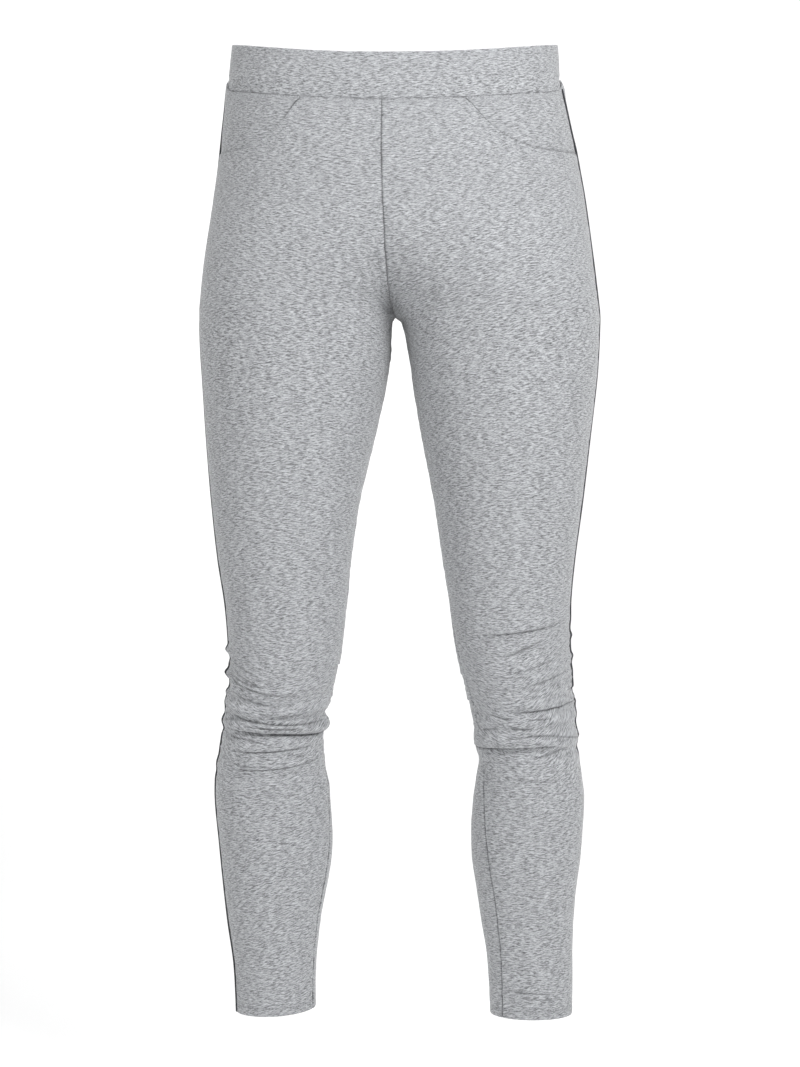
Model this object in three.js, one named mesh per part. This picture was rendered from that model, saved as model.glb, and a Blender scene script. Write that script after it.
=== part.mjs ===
// Pull-on leggings of stretch jersey, standing filled out as if worn, with nothing inside.
// Millimetres. +Z is up, -Y is the front and +X is the wearer's left.
// The origin is the middle of the waist, half way up the elastic band at its sides.
import * as THREE from "three";
import { mergeVertices } from "three/addons/utils/BufferGeometryUtils.js";

// Cloth thicknesses, and the gap that parts two pieces at a seam
const JERSEY = 1.4;
const TURNED_HEM = 2.6;
const ELASTIC_BAND = 3;
const SEAM_GAP = 0.3;

// Heights on the side of the body, from the waist down
const BAND_TOP = 20;
const WAIST_SEAM = -20;
const CROTCH = -246;
const HEM = -921;
const HEM_DEPTH = 20;

// The waist dips at the front and rises a little at the back, and this dies out below the seam
const WAIST_TILT = 18;
const WAIST_DIP = 10;
const DIP_FADES_OVER = 130;

// How far above the crotch the front and the back of the seat close into one oval
const FRONT_RISE = 120;
const BACK_RISE = 140;
const SEAT_CURVE = 1.8;

// The scooped pocket: how far from the centre seam it leaves the waist, how deep it goes and its roundness
const SCOOP_FROM_CENTRE = 80;
const SCOOP_DEPTH = 64;
const SCOOP_HOLLOW = 1.5;
const SCOOP_SWEEP = 3;
const SCOOP_FLOOR = WAIST_SEAM - SCOOP_DEPTH;
const FACING_INSET = 0.7;

// How far the elastic draws the waistband in under the cloth below it
const BAND_INSET = 1;

// Mesh columns round a piece. Those over the pocket are given as shares of the scoop's width.
const CENTRE_COLUMNS = 3;
const SCOOP_COLUMNS = [0, 0.005, 0.03, 0.09, 0.18, 0.3, 0.44, 0.6, 0.8, 1];
const BACK_COLUMNS = 10;
const BAND_COLUMNS = 44;
const FACING_ROWS = 4;

const GREY_MELANGE = 0xb4b6ba;
const LEFT = 1;
const RIGHT = -1;

// Depth of the body: how far the front and the back stand from the plane of the side seams,
// and how much fuller than an oval it is towards its corners.
const BODY = table(
  ["level", "front", "back", "fullness"],
  [
    [30, 104, 100, 0.02],
    [0, 106, 103, 0.02],
    [-43, 110, 112, 0.03],
    [-87, 112, 121, 0.04],
    [-131, 111, 127, 0.05],
    [-170, 108, 127, 0.05],
    [-210, 101, 118, 0.05],
    [-246, 95, 106, 0.04],
    [-280, 90, 97, 0.03],
    [-306, 88, 93, 0.02],
    [-365, 83, 84, 0.02],
    [-424, 77, 74, 0.02],
    [-482, 70, 64, 0.02],
    [-526, 65, 57, 0.02],
    [-570, 60, 53, 0.02],
    [-600, 57, 53, 0.02],
    [-658, 52, 59, 0.02],
    [-716, 46, 67, 0.02],
    [-745, 43, 68, 0.02],
    [-790, 40, 63, 0.02],
    [-834, 37, 55, 0.01],
    [-877, 36, 49, 0],
    [-930, 36, 46, 0],
  ],
);

// The hips are turned a little, so the centre seam runs on the wearer's right of the middle
const CENTRE_SEAM = table(
  ["level", "x"],
  [
    [30, -12],
    [-48, -11.4],
    [-87, -9],
    [-145, -6.8],
    [-187, -5.8],
    [-216, -4.4],
    [-246, 0],
  ],
);

// Width of each leg: how far its outer and inner sides stand from the middle of the body,
// and where the inseam and the side seam run, in turns round the leg from its inner side over the front.
const LEG_COLUMNS = ["level", "outer", "inner", "inseam", "side"];
const LEGS = {
  [LEFT]: table(LEG_COLUMNS, [
    [30, 159, 0, 0, 0.437],
    [15, 159.6, 0, 0, 0.437],
    [-14, 161, 0, 0, 0.437],
    [-21, 163, 0, 0, 0.437],
    [-43, 168, 0, 0, 0.441],
    [-68, 173, 0, 0, 0.451],
    [-84, 176.5, 0, 0, 0.463],
    [-98, 179, 0, 0, 0.471],
    [-131, 185, 0, 0, 0.477],
    [-189, 193, 0, 0, 0.479],
    [-233, 198, 0, 0, 0.482],
    [-246, 199, 0, 0, 0.485],
    [-258, 198.7, 1.6, 0, 0.485],
    [-280, 197.8, 7.6, 0, 0.485],
    [-306, 196, 15.5, 0, 0.485],
    [-365, 189, 26, 0, 0.485],
    [-424, 182, 37.5, 0, 0.485],
    [-482, 174, 46, 0, 0.485],
    [-526, 170, 53, 0, 0.483],
    [-570, 170, 59, 0.005, 0.482],
    [-600, 172, 66, 0.015, 0.485],
    [-628, 175, 73, 0.035, 0.49],
    [-658, 177, 78, 0.075, 0.502],
    [-687, 181.5, 79.5, 0.088, 0.53],
    [-716, 185, 76, 0.111, 0.56],
    [-746, 183.5, 74, 0.127, 0.585],
    [-775, 181, 75, 0.136, 0.6],
    [-804, 177, 79.5, 0.129, 0.61],
    [-834, 174.5, 84, 0.12, 0.605],
    [-863, 173, 88.5, 0.112, 0.6],
    [-892, 173, 91, 0.107, 0.6],
    [-930, 173, 93, 0.107, 0.6],
  ]),
  [RIGHT]: table(LEG_COLUMNS, [
    [30, 160, 0, 0, 0.523],
    [15, 160.5, 0, 0, 0.523],
    [-14, 163.2, 0, 0, 0.523],
    [-21, 165.3, 0, 0, 0.523],
    [-43, 167, 0, 0, 0.51],
    [-68, 169.5, 0, 0, 0.5],
    [-84, 171.2, 0, 0, 0.5],
    [-98, 173, 0, 0, 0.505],
    [-131, 178, 0, 0, 0.51],
    [-189, 187, 0, 0, 0.51],
    [-233, 191, 0, 0, 0.506],
    [-246, 191, 0, 0, 0.504],
    [-258, 191, 0.8, 0, 0.503],
    [-280, 190, 4.5, 0, 0.502],
    [-306, 188, 10.5, 0, 0.5],
    [-365, 184, 21.5, 0, 0.5],
    [-424, 179, 34.5, 0, 0.5],
    [-482, 172.5, 43, 0, 0.498],
    [-526, 165.5, 47, 0, 0.494],
    [-570, 163, 52, 0, 0.488],
    [-600, 163, 59, 0.002, 0.486],
    [-628, 167, 66, 0.004, 0.486],
    [-658, 171, 70, 0.006, 0.488],
    [-687, 175, 68, 0.012, 0.488],
    [-716, 176, 64, 0.03, 0.486],
    [-760, 172, 62, 0.048, 0.484],
    [-790, 169, 65, 0.054, 0.48],
    [-834, 164, 73, 0.055, 0.472],
    [-877, 158, 77.5, 0.054, 0.462],
    [-930, 156, 78, 0.05, 0.445],
  ]),
};

// The round top of the gap between the legs: how fast it opens, and how far down it is lost in the leg
const ARCH = { [LEFT]: 2.2, [RIGHT]: 1.7 };
const ARCH_HEIGHT = 75;
const ARCH_CORNER = 6;

// How far the inner side of each hem is hitched up, fading out over this height
const HEM_HITCH = { [LEFT]: 3, [RIGHT]: 9 };
const HITCH_FADES_OVER = 90;

// The folds where slack cloth sits on the calf. middle and reach are in turns round the leg, sag is how far
// the fold hangs below its ends, lean is how far its outer end is raised, and depth is out of the cloth.
const FOLD_COLUMNS = ["level", "middle", "reach", "sag", "lean", "width", "depth"];
const FOLDS = {
  [LEFT]: rows(FOLD_COLUMNS, [
    [-545, 0.3, 0.2, 4, 12, 9, 1.6],
    [-556, 0.28, 0.22, 3, 14, 5, -1.5],
    [-592, 0.3, 0.25, 6, 14, 12, 1.8],
    [-628, 0.28, 0.26, 6, 12, 5, -2.2],
    [-637, 0.3, 0.3, 6, 6, 6, 1.6],
    [-645, 0.22, 0.2, 4, 0, 4.5, -1.8],
    [-654, 0.25, 0.34, 4, 2, 6, 2.6],
    [-663, 0.22, 0.33, 3, -2, 4.5, -2.6],
    [-585, 0.75, 0.24, -4, 0, 8, 2],
    [-600, 0.75, 0.26, -5, 2, 5, -2.2],
    [-615, 0.75, 0.24, -4, 0, 8, 2.4],
    [-632, 0.76, 0.26, -4, -3, 5.5, -2.4],
    [-648, 0.74, 0.24, -3, 0, 9, 1.8],
  ]),
  [RIGHT]: rows(FOLD_COLUMNS, [
    [-578, 0.26, 0.22, 8, 4, 12, 1.5],
    [-606, 0.27, 0.26, 12, 3, 9, 1.8],
    [-618, 0.27, 0.24, 12, 2, 5, -1.6],
    [-627, 0.25, 0.3, 11, 4, 5, 2.2],
    [-635, 0.24, 0.32, 11, 3, 4, -2.6],
    [-642, 0.22, 0.36, 8, 2, 5, 2.8],
    [-649, 0.22, 0.34, 6, -1, 4, -2.8],
    [-675, 0.27, 0.24, 8, -5, 5, -1.6],
    [-683, 0.27, 0.24, 8, -5, 5, 1.3],
    [-690, 0.27, 0.26, 8, -6, 4.5, -1.7],
    [-580, 0.75, 0.24, -4, 2, 8, 2],
    [-594, 0.75, 0.26, -5, 0, 5, -2.2],
    [-609, 0.75, 0.25, -4, 0, 8, 2.4],
    [-627, 0.74, 0.26, -3, 3, 5.5, -2.4],
    [-644, 0.76, 0.24, -3, 0, 9, 1.8],
  ]),
};

// Heights of the mesh rows: level below the pocket, closer round the crotch and the folds at the knee
const POCKET_ROWS = 5;
const POCKET_END = -112;
const BACK_POCKET_LEVELS = [
  ...steps(WAIST_SEAM, SCOOP_FLOOR, 4).slice(0, -1),
  ...steps(SCOOP_FLOOR, POCKET_END, POCKET_ROWS),
];
const CROTCH_SHARES = [1, 0.75, 0.54, 0.36, 0.24, 0.16, 0.1, 0.06, 0.03, 0.01, 0];
const LEVELS = [
  ...CROTCH_SHARES.map((share) => CROTCH + FRONT_RISE * share),
  -248,
  -252,
  -260,
  ...steps(-276, -516, 8),
  ...steps(-532, -604, 7),
  ...steps(-610, -700, 18),
  ...steps(-716, -884, 7),
  HEM + HEM_DEPTH + 0.5,
  HEM + HEM_DEPTH - 0.5,
  HEM + HEM_DEPTH / 2,
  HEM,
];

// A table with named columns becomes one smooth function of the level for each column.
function table(names, lines) {
  const sorted = [...lines].sort((a, b) => a[0] - b[0]);
  const made = {};
  names.slice(1).forEach((name, k) => {
    const points = sorted.map((line) => [line[0], line[k + 1]]);
    made[name] = (level) => smoothed(points, level);
  });
  return made;
}

// A table with named columns becomes a list of objects.
function rows(names, lines) {
  return lines.map((line) => Object.fromEntries(names.map((name, k) => [name, line[k]])));
}

// Cubic curve through points that are sorted by their first number, with slopes taken from the neighbours.
function smoothed(points, at) {
  const last = points.length - 1;
  const k = Math.min(Math.max(points.findIndex((p) => p[0] > at) - 1, 0), last - 1);
  const slope = (i) => {
    const before = points[Math.max(i - 1, 0)];
    const after = points[Math.min(i + 1, last)];
    return (after[1] - before[1]) / (after[0] - before[0]);
  };
  const span = points[k + 1][0] - points[k][0];
  const t = THREE.MathUtils.clamp((at - points[k][0]) / span, 0, 1);
  const rise = 3 * t * t - 2 * t * t * t;
  const leaving = t * (1 - t) * (1 - t) * span * slope(k);
  const arriving = t * t * (1 - t) * span * slope(k + 1);
  return THREE.MathUtils.lerp(points[k][1], points[k + 1][1], rise) + leaving - arriving;
}

// Equal steps from one height to another, both included.
function steps(from, to, count) {
  return Array.from({ length: count + 1 }, (_, k) => THREE.MathUtils.lerp(from, to, k / count));
}

// How far a fold moves the cloth outwards: a soft ridge or trough along a sagging line that dies out at its ends.
function foldDepth(side, turn, z) {
  let out = 0;
  for (const fold of FOLDS[side]) {
    const off = (((turn - fold.middle + 1.5) % 1) - 0.5) / fold.reach;
    if (Math.abs(off) >= 1) continue;
    const line = fold.level + fold.sag * off * off + (fold.lean * off) / 2;
    const across = (z - line) / fold.width;
    out += fold.depth * Math.exp(-across * across) * (1 - off * off) ** 0.75;
  }
  return out;
}

// A point of the cloth's outer face. turn goes once round a leg, from its inner side over the front (0.25),
// the outer side (0.5) and the back (0.75). Above the crotch it goes from the centre front to the centre back.
// Each leg is a full oval, and the two ovals are cut where they meet on the middle of the body.
// From the crotch up they grow into one another, so their middles close on the middle of the body.
function skin(side, turn, z) {
  const outer = LEGS[side].outer(z);
  const middle = side * CENTRE_SEAM.x(z);
  const inner = z < CROTCH ? LEGS[side].inner(z) : middle;
  const legCentre = (outer + inner) / 2;
  const centre = THREE.MathUtils.lerp(legCentre, middle, hipShare(turn, z));
  const halfWidth = outer - centre;
  const cut = z < CROTCH ? 0 : Math.acos(Math.min((centre - middle) / halfWidth, 1));
  const round = turn < 0.5
    ? THREE.MathUtils.lerp(cut, Math.PI, turn * 2)
    : THREE.MathUtils.lerp(Math.PI, 2 * Math.PI - cut, turn * 2 - 1);

  const front = BODY.front(z);
  const back = BODY.back(z);
  const fullness = BODY.fullness(z);
  const bulge = (Math.sin(round) + fullness * Math.sin(3 * round)) / (1 - fullness);
  const x = centre - halfWidth * Math.cos(round);
  const y = (back - front) / 2 - ((back + front) / 2) * bulge;

  const arch = archOpening(side, z) * Math.max(Math.cos(round), 0) ** ARCH_CORNER;
  const away = foldDepth(side, turn, z);
  return new THREE.Vector3(side * (x + arch - away * Math.cos(round)), y - away * Math.sin(round), z);
}

// How far the inner side of a leg stands back from its oval just below the crotch.
function archOpening(side, z) {
  const below = THREE.MathUtils.clamp(CROTCH - z, 0, ARCH_HEIGHT);
  return ARCH[side] * Math.sqrt(below) * (1 - below / ARCH_HEIGHT) ** 2;
}

// 0 where each leg is a tube of its own, 1 where the hips are one oval. The centre seams curve under between them.
function hipShare(turn, z) {
  const rise = THREE.MathUtils.lerp(FRONT_RISE, BACK_RISE, THREE.MathUtils.smoothstep(turn, 0.3, 0.7));
  const height = THREE.MathUtils.clamp((z - CROTCH) / rise, 0, 1);
  return 1 - (1 - height ** SEAT_CURVE) ** SEAT_CURVE;
}

// The height of a mesh row at one place round the body: rows dip with the waist, and hitch up at the hem.
function heightOf(side, turn, level) {
  const facing = Math.cos(Math.PI * turn);
  const dip = WAIST_TILT * facing + WAIST_DIP * facing * facing;
  const dipShare = THREE.MathUtils.clamp(1 - (WAIST_SEAM - level) / DIP_FADES_OVER, 0, 1);
  const innerShare = (1 + Math.cos(2 * Math.PI * turn)) / 2;
  const hitchShare = THREE.MathUtils.clamp(1 - (level - HEM) / HITCH_FADES_OVER, 0, 1);
  return level - dip * dipShare + HEM_HITCH[side] * innerShare * hitchShare;
}

// The outward normal of the cloth, from neighbouring points.
function outward(side, turn, z) {
  const step = 0.002;
  const rise = 0.5;
  const first = z > CROTCH ? Math.max(turn - step, 0) : turn - step;
  const last = z > CROTCH ? Math.min(turn + step, 1) : turn + step;
  const around = skin(side, last, z).sub(skin(side, first, z));
  const up = skin(side, turn, z + rise).sub(skin(side, turn, z - rise));
  return around.cross(up).multiplyScalar(side).normalize();
}

// The two faces of the cloth at one place: inset below the form, and thick towards the inside.
// aside moves it away from the middle of the body, to part the panels at the centre seam.
function clothAt(side, turn, level, { thick, inset = 0, aside = 0 }) {
  const z = heightOf(side, turn, level);
  const face = skin(side, turn, z);
  const normal = outward(side, turn, z);
  face.x += side * aside;
  const outer = face.clone().addScaledVector(normal, -inset);
  const inner = face.clone().addScaledVector(normal, -inset - thick);
  return { outer, inner };
}

// How many turns make a given distance along a row at one place.
function turnsFor(distance, side, turn, level) {
  const z = heightOf(side, turn, level);
  const step = 0.002;
  const length = skin(side, turn + step, z).distanceTo(skin(side, turn - step, z));
  return (distance * 2 * step) / length;
}

// A closed wall from a grid of places on the cloth, each with its outer and inner point.
// A ring joins its last column to its first.
function wall(name, grid, { flip, ring = false }) {
  const high = grid.length;
  const wide = grid[0].length;
  const position = [];
  for (const face of ["outer", "inner"]) {
    grid.forEach((line) => line.forEach((place) => position.push(...place[face].toArray())));
  }
  const index = [];
  const at = (row, column, face) => face * high * wide + row * wide + (column % wide);
  const quad = (a, b, c, d) => (flip ? index.push(a, c, b, a, d, c) : index.push(a, b, c, a, c, d));
  const cells = ring ? wide : wide - 1;
  for (let r = 0; r + 1 < high; r++) {
    for (let c = 0; c < cells; c++) {
      quad(at(r, c, 0), at(r + 1, c, 0), at(r + 1, c + 1, 0), at(r, c + 1, 0));
      quad(at(r, c, 1), at(r, c + 1, 1), at(r + 1, c + 1, 1), at(r + 1, c, 1));
    }
    if (ring) continue;
    quad(at(r, 0, 0), at(r, 0, 1), at(r + 1, 0, 1), at(r + 1, 0, 0));
    quad(at(r, wide - 1, 0), at(r + 1, wide - 1, 0), at(r + 1, wide - 1, 1), at(r, wide - 1, 1));
  }
  for (let c = 0; c < cells; c++) {
    quad(at(0, c, 0), at(0, c + 1, 0), at(0, c + 1, 1), at(0, c, 1));
    quad(at(high - 1, c, 0), at(high - 1, c, 1), at(high - 1, c + 1, 1), at(high - 1, c + 1, 0));
  }
  const geometry = new THREE.BufferGeometry();
  geometry.setAttribute("position", new THREE.Float32BufferAttribute(position, 3));
  geometry.setIndex(index);
  const merged = mergeVertices(geometry, 1e-4);
  merged.computeVertexNormals();
  const material = new THREE.MeshStandardMaterial({ color: GREY_MELANGE, roughness: 0.95, metalness: 0 });
  const mesh = new THREE.Mesh(merged, material);
  mesh.name = name;
  return mesh;
}

// Where the scoop leaves the waist, in turns round the side.
function scoopStart(side) {
  const reach = LEGS[side].outer(WAIST_SEAM) - side * CENTRE_SEAM.x(WAIST_SEAM);
  return Math.asin(SCOOP_FROM_CENTRE / reach) / Math.PI;
}

// The height of the scoop's edge at a share of its width: it leaves the waist steeply and ends level.
function scoopLevel(share) {
  return WAIST_SEAM - SCOOP_DEPTH * (1 - (1 - share) ** SCOOP_SWEEP) ** (1 / SCOOP_HOLLOW);
}

function clothThickness(level) {
  return level < HEM + HEM_DEPTH ? TURNED_HEM : JERSEY;
}

// One row of a panel at the given turns. Its ends are half a gap inside its seams, except on the centre seam,
// where the whole panel is moved aside instead.
function panelRow(side, turns, levels) {
  const last = turns.length - 1;
  return turns.map((turn, k) => {
    const level = levels[k] === WAIST_SEAM ? WAIST_SEAM - SEAM_GAP / 2 : levels[k];
    const onCentre = level > CROTCH && (turn === 0 || turn === 1);
    const inwards = (k === 0) - (k === last);
    const gap = onCentre ? 0 : inwards * turnsFor(SEAM_GAP / 2, side, turn, level);
    return clothAt(side, turn + gap, level, { thick: clothThickness(level), aside: SEAM_GAP / 2 });
  });
}

// A panel down to the hem: the rows beside the pocket, each with its own levels, and the level rows below them.
function panel(name, side, pocketRows, turnsAt) {
  const levelRows = LEVELS.map((level) => pocketRows[0].map(() => level));
  const grid = [...pocketRows, ...levelRows].map((levels) => panelRow(side, turnsAt(levels), levels));
  return wall(name, grid, { flip: side === RIGHT });
}

function inseam(side, level) {
  return level < CROTCH ? LEGS[side].inseam(level) : 0;
}

function frontLeg(name, side) {
  const start = scoopStart(side) / LEGS[side].side(SCOOP_FLOOR);
  const centreShares = steps(0, start, CENTRE_COLUMNS).slice(0, -1);
  const scoopShares = SCOOP_COLUMNS.map((share) => THREE.MathUtils.lerp(start, 1, share));
  const shares = [...centreShares, ...scoopShares];
  const tops = [...centreShares.map(() => WAIST_SEAM), ...SCOOP_COLUMNS.map(scoopLevel)];
  const pocketRows = steps(0, 1, POCKET_ROWS).map((down) => {
    return tops.map((top) => THREE.MathUtils.lerp(top, POCKET_END, down));
  });
  return panel(name, side, pocketRows, (levels) => levels.map((level, k) => {
    const seam = LEGS[side].side(Math.min(level, SCOOP_FLOOR));
    return THREE.MathUtils.lerp(inseam(side, level), seam, shares[k]);
  }));
}

function backLeg(name, side) {
  const shares = steps(0, 1, BACK_COLUMNS);
  const pocketRows = BACK_POCKET_LEVELS.map((level) => shares.map(() => level));
  return panel(name, side, pocketRows, (levels) => levels.map((level, k) => {
    return THREE.MathUtils.lerp(LEGS[side].side(level), 1 + inseam(side, level), shares[k]);
  }));
}

// The facing fills the scoop from the waist seam down to the front panel's edge, a little below its face.
function pocketFacing(name, side) {
  const columns = SCOOP_COLUMNS.slice(1).map((share) => {
    const corner = THREE.MathUtils.lerp(scoopStart(side), LEGS[side].side(SCOOP_FLOOR), share);
    const bottom = scoopLevel(share) + SEAM_GAP;
    const gap = turnsFor(SEAM_GAP, side, corner, bottom);
    return steps(WAIST_SEAM - SEAM_GAP / 2, bottom, FACING_ROWS).map((level) => {
      const turn = Math.min(corner + gap, LEGS[side].side(level) - gap);
      return clothAt(side, turn, level, { thick: JERSEY, inset: FACING_INSET, aside: SEAM_GAP / 2 });
    });
  });
  return wall(name, columns, { flip: side === LEFT });
}

// The waistband is one closed ring of cloth over elastic.
function waistband(name) {
  const levels = [BAND_TOP, BAND_TOP - 13, WAIST_SEAM + 13, WAIST_SEAM + SEAM_GAP / 2];
  const ways = steps(-1, 1, BAND_COLUMNS).slice(1);
  const grid = levels.map((level) => ways.map((way) => {
    return clothAt(way < 0 ? RIGHT : LEFT, Math.abs(way), level, { thick: ELASTIC_BAND, inset: BAND_INSET });
  }));
  return wall(name, grid, { flip: false, ring: true });
}

const leggings = new THREE.Group();
leggings.name = "leggings";
leggings.add(
  waistband("waistband"),
  frontLeg("front_leg_left", LEFT),
  frontLeg("front_leg_right", RIGHT),
  backLeg("back_leg_left", LEFT),
  backLeg("back_leg_right", RIGHT),
  pocketFacing("pocket_facing_left", LEFT),
  pocketFacing("pocket_facing_right", RIGHT),
);

export default leggings;
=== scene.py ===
# %% [markdown]
# # Leggings of grey mélange jersey
#
# A pair of pull-on leggings, standing filled out as if someone wore them. On the real thing a knitted
# tube of cotton and elastane is cut into two front and two back panels, overlocked together, and
# gathered by a wide waistband that has elastic inside. Each piece here is a grid of points, worked out
# from a few sizes and laid over the garment's form, so seams, folds and stitches all follow the same
# surface.

# %% Load the frame
import math

import bpy
import numpy as np
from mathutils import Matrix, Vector


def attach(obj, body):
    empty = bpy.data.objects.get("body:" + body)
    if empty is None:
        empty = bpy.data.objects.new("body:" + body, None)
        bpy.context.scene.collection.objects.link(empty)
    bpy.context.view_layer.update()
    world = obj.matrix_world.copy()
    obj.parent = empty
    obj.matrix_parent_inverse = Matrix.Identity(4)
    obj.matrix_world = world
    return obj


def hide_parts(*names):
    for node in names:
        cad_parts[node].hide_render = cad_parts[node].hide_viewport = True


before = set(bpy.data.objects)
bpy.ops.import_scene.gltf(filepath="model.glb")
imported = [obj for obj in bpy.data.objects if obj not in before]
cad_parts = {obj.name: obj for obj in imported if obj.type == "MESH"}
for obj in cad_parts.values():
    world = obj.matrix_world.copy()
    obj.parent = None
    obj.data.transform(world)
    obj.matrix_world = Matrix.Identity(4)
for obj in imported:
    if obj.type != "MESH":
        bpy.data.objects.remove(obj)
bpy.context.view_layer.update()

# %% [markdown]
# ## The camera
#
# The photograph looks straight at the front from a few metres away, level with the thighs. Its frame is
# about a metre high at the garment, and a short telephoto lens keeps the legs from spreading.

# %% Camera
PHOTO_WIDTH = 800
PHOTO_HEIGHT = 1067
METRES_PER_PIXEL = 0.000976  # from the garment's length in the photo
WAIST_PIXEL = 66             # row of the photo that shows the origin's height
MIDDLE_PIXEL = 395.5         # column of the photo that shows the middle of the body
CAMERA_DISTANCE = 2.4
SENSOR = 36.0

camera_data = bpy.data.cameras.new("camera")
camera_data.sensor_fit = "VERTICAL"
camera_data.sensor_height = SENSOR
camera_data.sensor_width = SENSOR
camera_data.lens = SENSOR * CAMERA_DISTANCE / (PHOTO_HEIGHT * METRES_PER_PIXEL)
camera = bpy.data.objects.new("camera", camera_data)
camera.location = (
    (PHOTO_WIDTH / 2 - MIDDLE_PIXEL) * METRES_PER_PIXEL,
    -CAMERA_DISTANCE,
    (WAIST_PIXEL - PHOTO_HEIGHT / 2) * METRES_PER_PIXEL,
)
camera.rotation_euler = (math.pi / 2, 0, 0)
bpy.context.scene.collection.objects.link(camera)
bpy.context.scene.camera = camera
bpy.context.scene.view_settings.view_transform = "Standard"
print("Camera at", [round(v, 3) for v in camera.location], "lens", round(camera_data.lens, 1))

# %% [markdown]
# ## The sizes of the garment
#
# A pattern cutter works from girths and lengths. These are the sizes that the solids are made from,
# fitted a few millimetres closer to the garment, in millimetres: a row for each height, with how far the
# cloth stands out in front, behind and at the sides. Tables keep the two legs apart, because they don't
# hang quite alike.

# %% Heights and tables
MM = 0.001
LEFT, RIGHT = 1, -1
BAND_TOP, WAIST_SEAM, CROTCH, HEM = 20.0, -20.0, -246.0, -921.0
WAIST_TILT, WAIST_DIP, DIP_FADES_OVER = 17.0, 9.0, 130.0
FRONT_RISE, BACK_RISE, SEAT_CURVE = 120.0, 140.0, 1.8
ARCH = {LEFT: 3.9, RIGHT: 2.2}
ARCH_HEIGHT, ARCH_CORNER, ARCH_POWER = 75.0, 6, 0.3
HEM_DROP = {LEFT: 3.5, RIGHT: 1.0}
HEM_HITCH = {LEFT: 0.0, RIGHT: 4.0}
HITCH_FADES_OVER = 90.0
SEAM_DROP, GATHER, GATHER_WIDTH, GATHER_HEIGHT = 5.0, 11.0, 0.055, 9.0

BODY = {
    "columns": ("level", "front", "back", "fullness"),
    "rows": [
        (30, 104, 100, 0.02), (0, 106, 103, 0.02), (-43, 110, 112, 0.03), (-87, 112, 121, 0.04),
        (-131, 111, 127, 0.05), (-170, 108, 127, 0.05), (-210, 101, 118, 0.05), (-246, 95, 106, 0.04),
        (-280, 90, 97, 0.03), (-306, 88, 93, 0.02), (-365, 83, 84, 0.02), (-424, 77, 74, 0.02),
        (-482, 70, 64, 0.02), (-526, 65, 57, 0.02), (-570, 60, 53, 0.02), (-600, 57, 53, 0.02),
        (-658, 52, 59, 0.02), (-716, 46, 67, 0.02), (-745, 43, 68, 0.02), (-790, 40, 63, 0.02),
        (-834, 37, 55, 0.01), (-877, 36, 49, 0), (-930, 36, 46, 0),
    ],
}
CENTRE_SEAM = {
    "columns": ("level", "x"),
    "rows": [
        (30, -12), (-54, -12.6), (-90, -13.2), (-120, -12.7), (-144, -12), (-177, -10.3), (-200, -8.8),
        (-222, -6.4), (-236, -3.8), (-246, 0),
    ],
}
LEG_COLUMNS = ("level", "outer", "inner", "inseam", "side")
LEGS = {
    LEFT: {
        "columns": LEG_COLUMNS,
        "rows": [
            (30, 159, 0, 0, 0.437), (15, 159.6, 0, 0, 0.437), (-14, 161, 0, 0, 0.437),
            (-21, 163, 0, 0, 0.437), (-43, 168, 0, 0, 0.441), (-68, 173, 0, 0, 0.451),
            (-84, 176.5, 0, 0, 0.463), (-98, 179, 0, 0, 0.471), (-131, 185, 0, 0, 0.477),
            (-189, 193, 0, 0, 0.479), (-233, 198, 0, 0, 0.482), (-246, 199, 0, 0, 0.485),
            (-258, 198.7, 2.6, 0, 0.485), (-280, 197.8, 9.6, 0, 0.485), (-306, 196, 15.8, 0, 0.485),
            (-365, 189, 26, 0, 0.485), (-424, 182, 37.5, 0, 0.485), (-482, 174, 46, 0, 0.485),
            (-526, 170, 53, 0.006, 0.483), (-570, 170, 59, 0.032, 0.482), (-600, 172, 66, 0.052, 0.485),
            (-628, 175, 73, 0.06, 0.49), (-658, 177, 78, 0.066, 0.502),
            (-687, 181.5, 79.5, 0.074, 0.53), (-716, 185, 76, 0.092, 0.56),
            (-746, 183.5, 74, 0.11, 0.585), (-775, 181, 75, 0.121, 0.6), (-804, 177, 79.5, 0.129, 0.61),
            (-834, 174.5, 84, 0.131, 0.605), (-863, 173, 88.5, 0.127, 0.6), (-892, 173, 91, 0.121, 0.6),
            (-930, 173, 93, 0.117, 0.6),
        ],
    },
    RIGHT: {
        "columns": LEG_COLUMNS,
        "rows": [
            (30, 160, 0, 0, 0.523), (15, 160.5, 0, 0, 0.523), (-14, 163.2, 0, 0, 0.523),
            (-21, 165.3, 0, 0, 0.523), (-43, 167, 0, 0, 0.51), (-68, 169.5, 0, 0, 0.5),
            (-84, 171.2, 0, 0, 0.5), (-98, 173, 0, 0, 0.505), (-131, 178, 0, 0, 0.51),
            (-189, 187, 0, 0, 0.51), (-233, 191, 0, 0, 0.506), (-246, 191, 0, 0, 0.504),
            (-258, 191, 0.4, 0, 0.503), (-280, 190, 2.4, 0, 0.502), (-306, 188, 7.6, 0, 0.5),
            (-365, 184, 20.6, 0, 0.5), (-424, 179, 34.5, 0, 0.5), (-482, 172.5, 43, 0, 0.498),
            (-526, 165.5, 47, 0, 0.494), (-570, 162, 52, 0, 0.488), (-600, 162, 59, 0.002, 0.486),
            (-628, 166, 66, 0.004, 0.486), (-658, 170, 70, 0.006, 0.488), (-687, 175, 68, 0.012, 0.488),
            (-716, 176, 64, 0.03, 0.486), (-760, 172, 62, 0.048, 0.484), (-790, 169, 65, 0.054, 0.48),
            (-834, 164, 73, 0.055, 0.472), (-877, 158, 77.5, 0.054, 0.462), (-930, 156, 78, 0.05, 0.445),
        ],
    },
}


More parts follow.
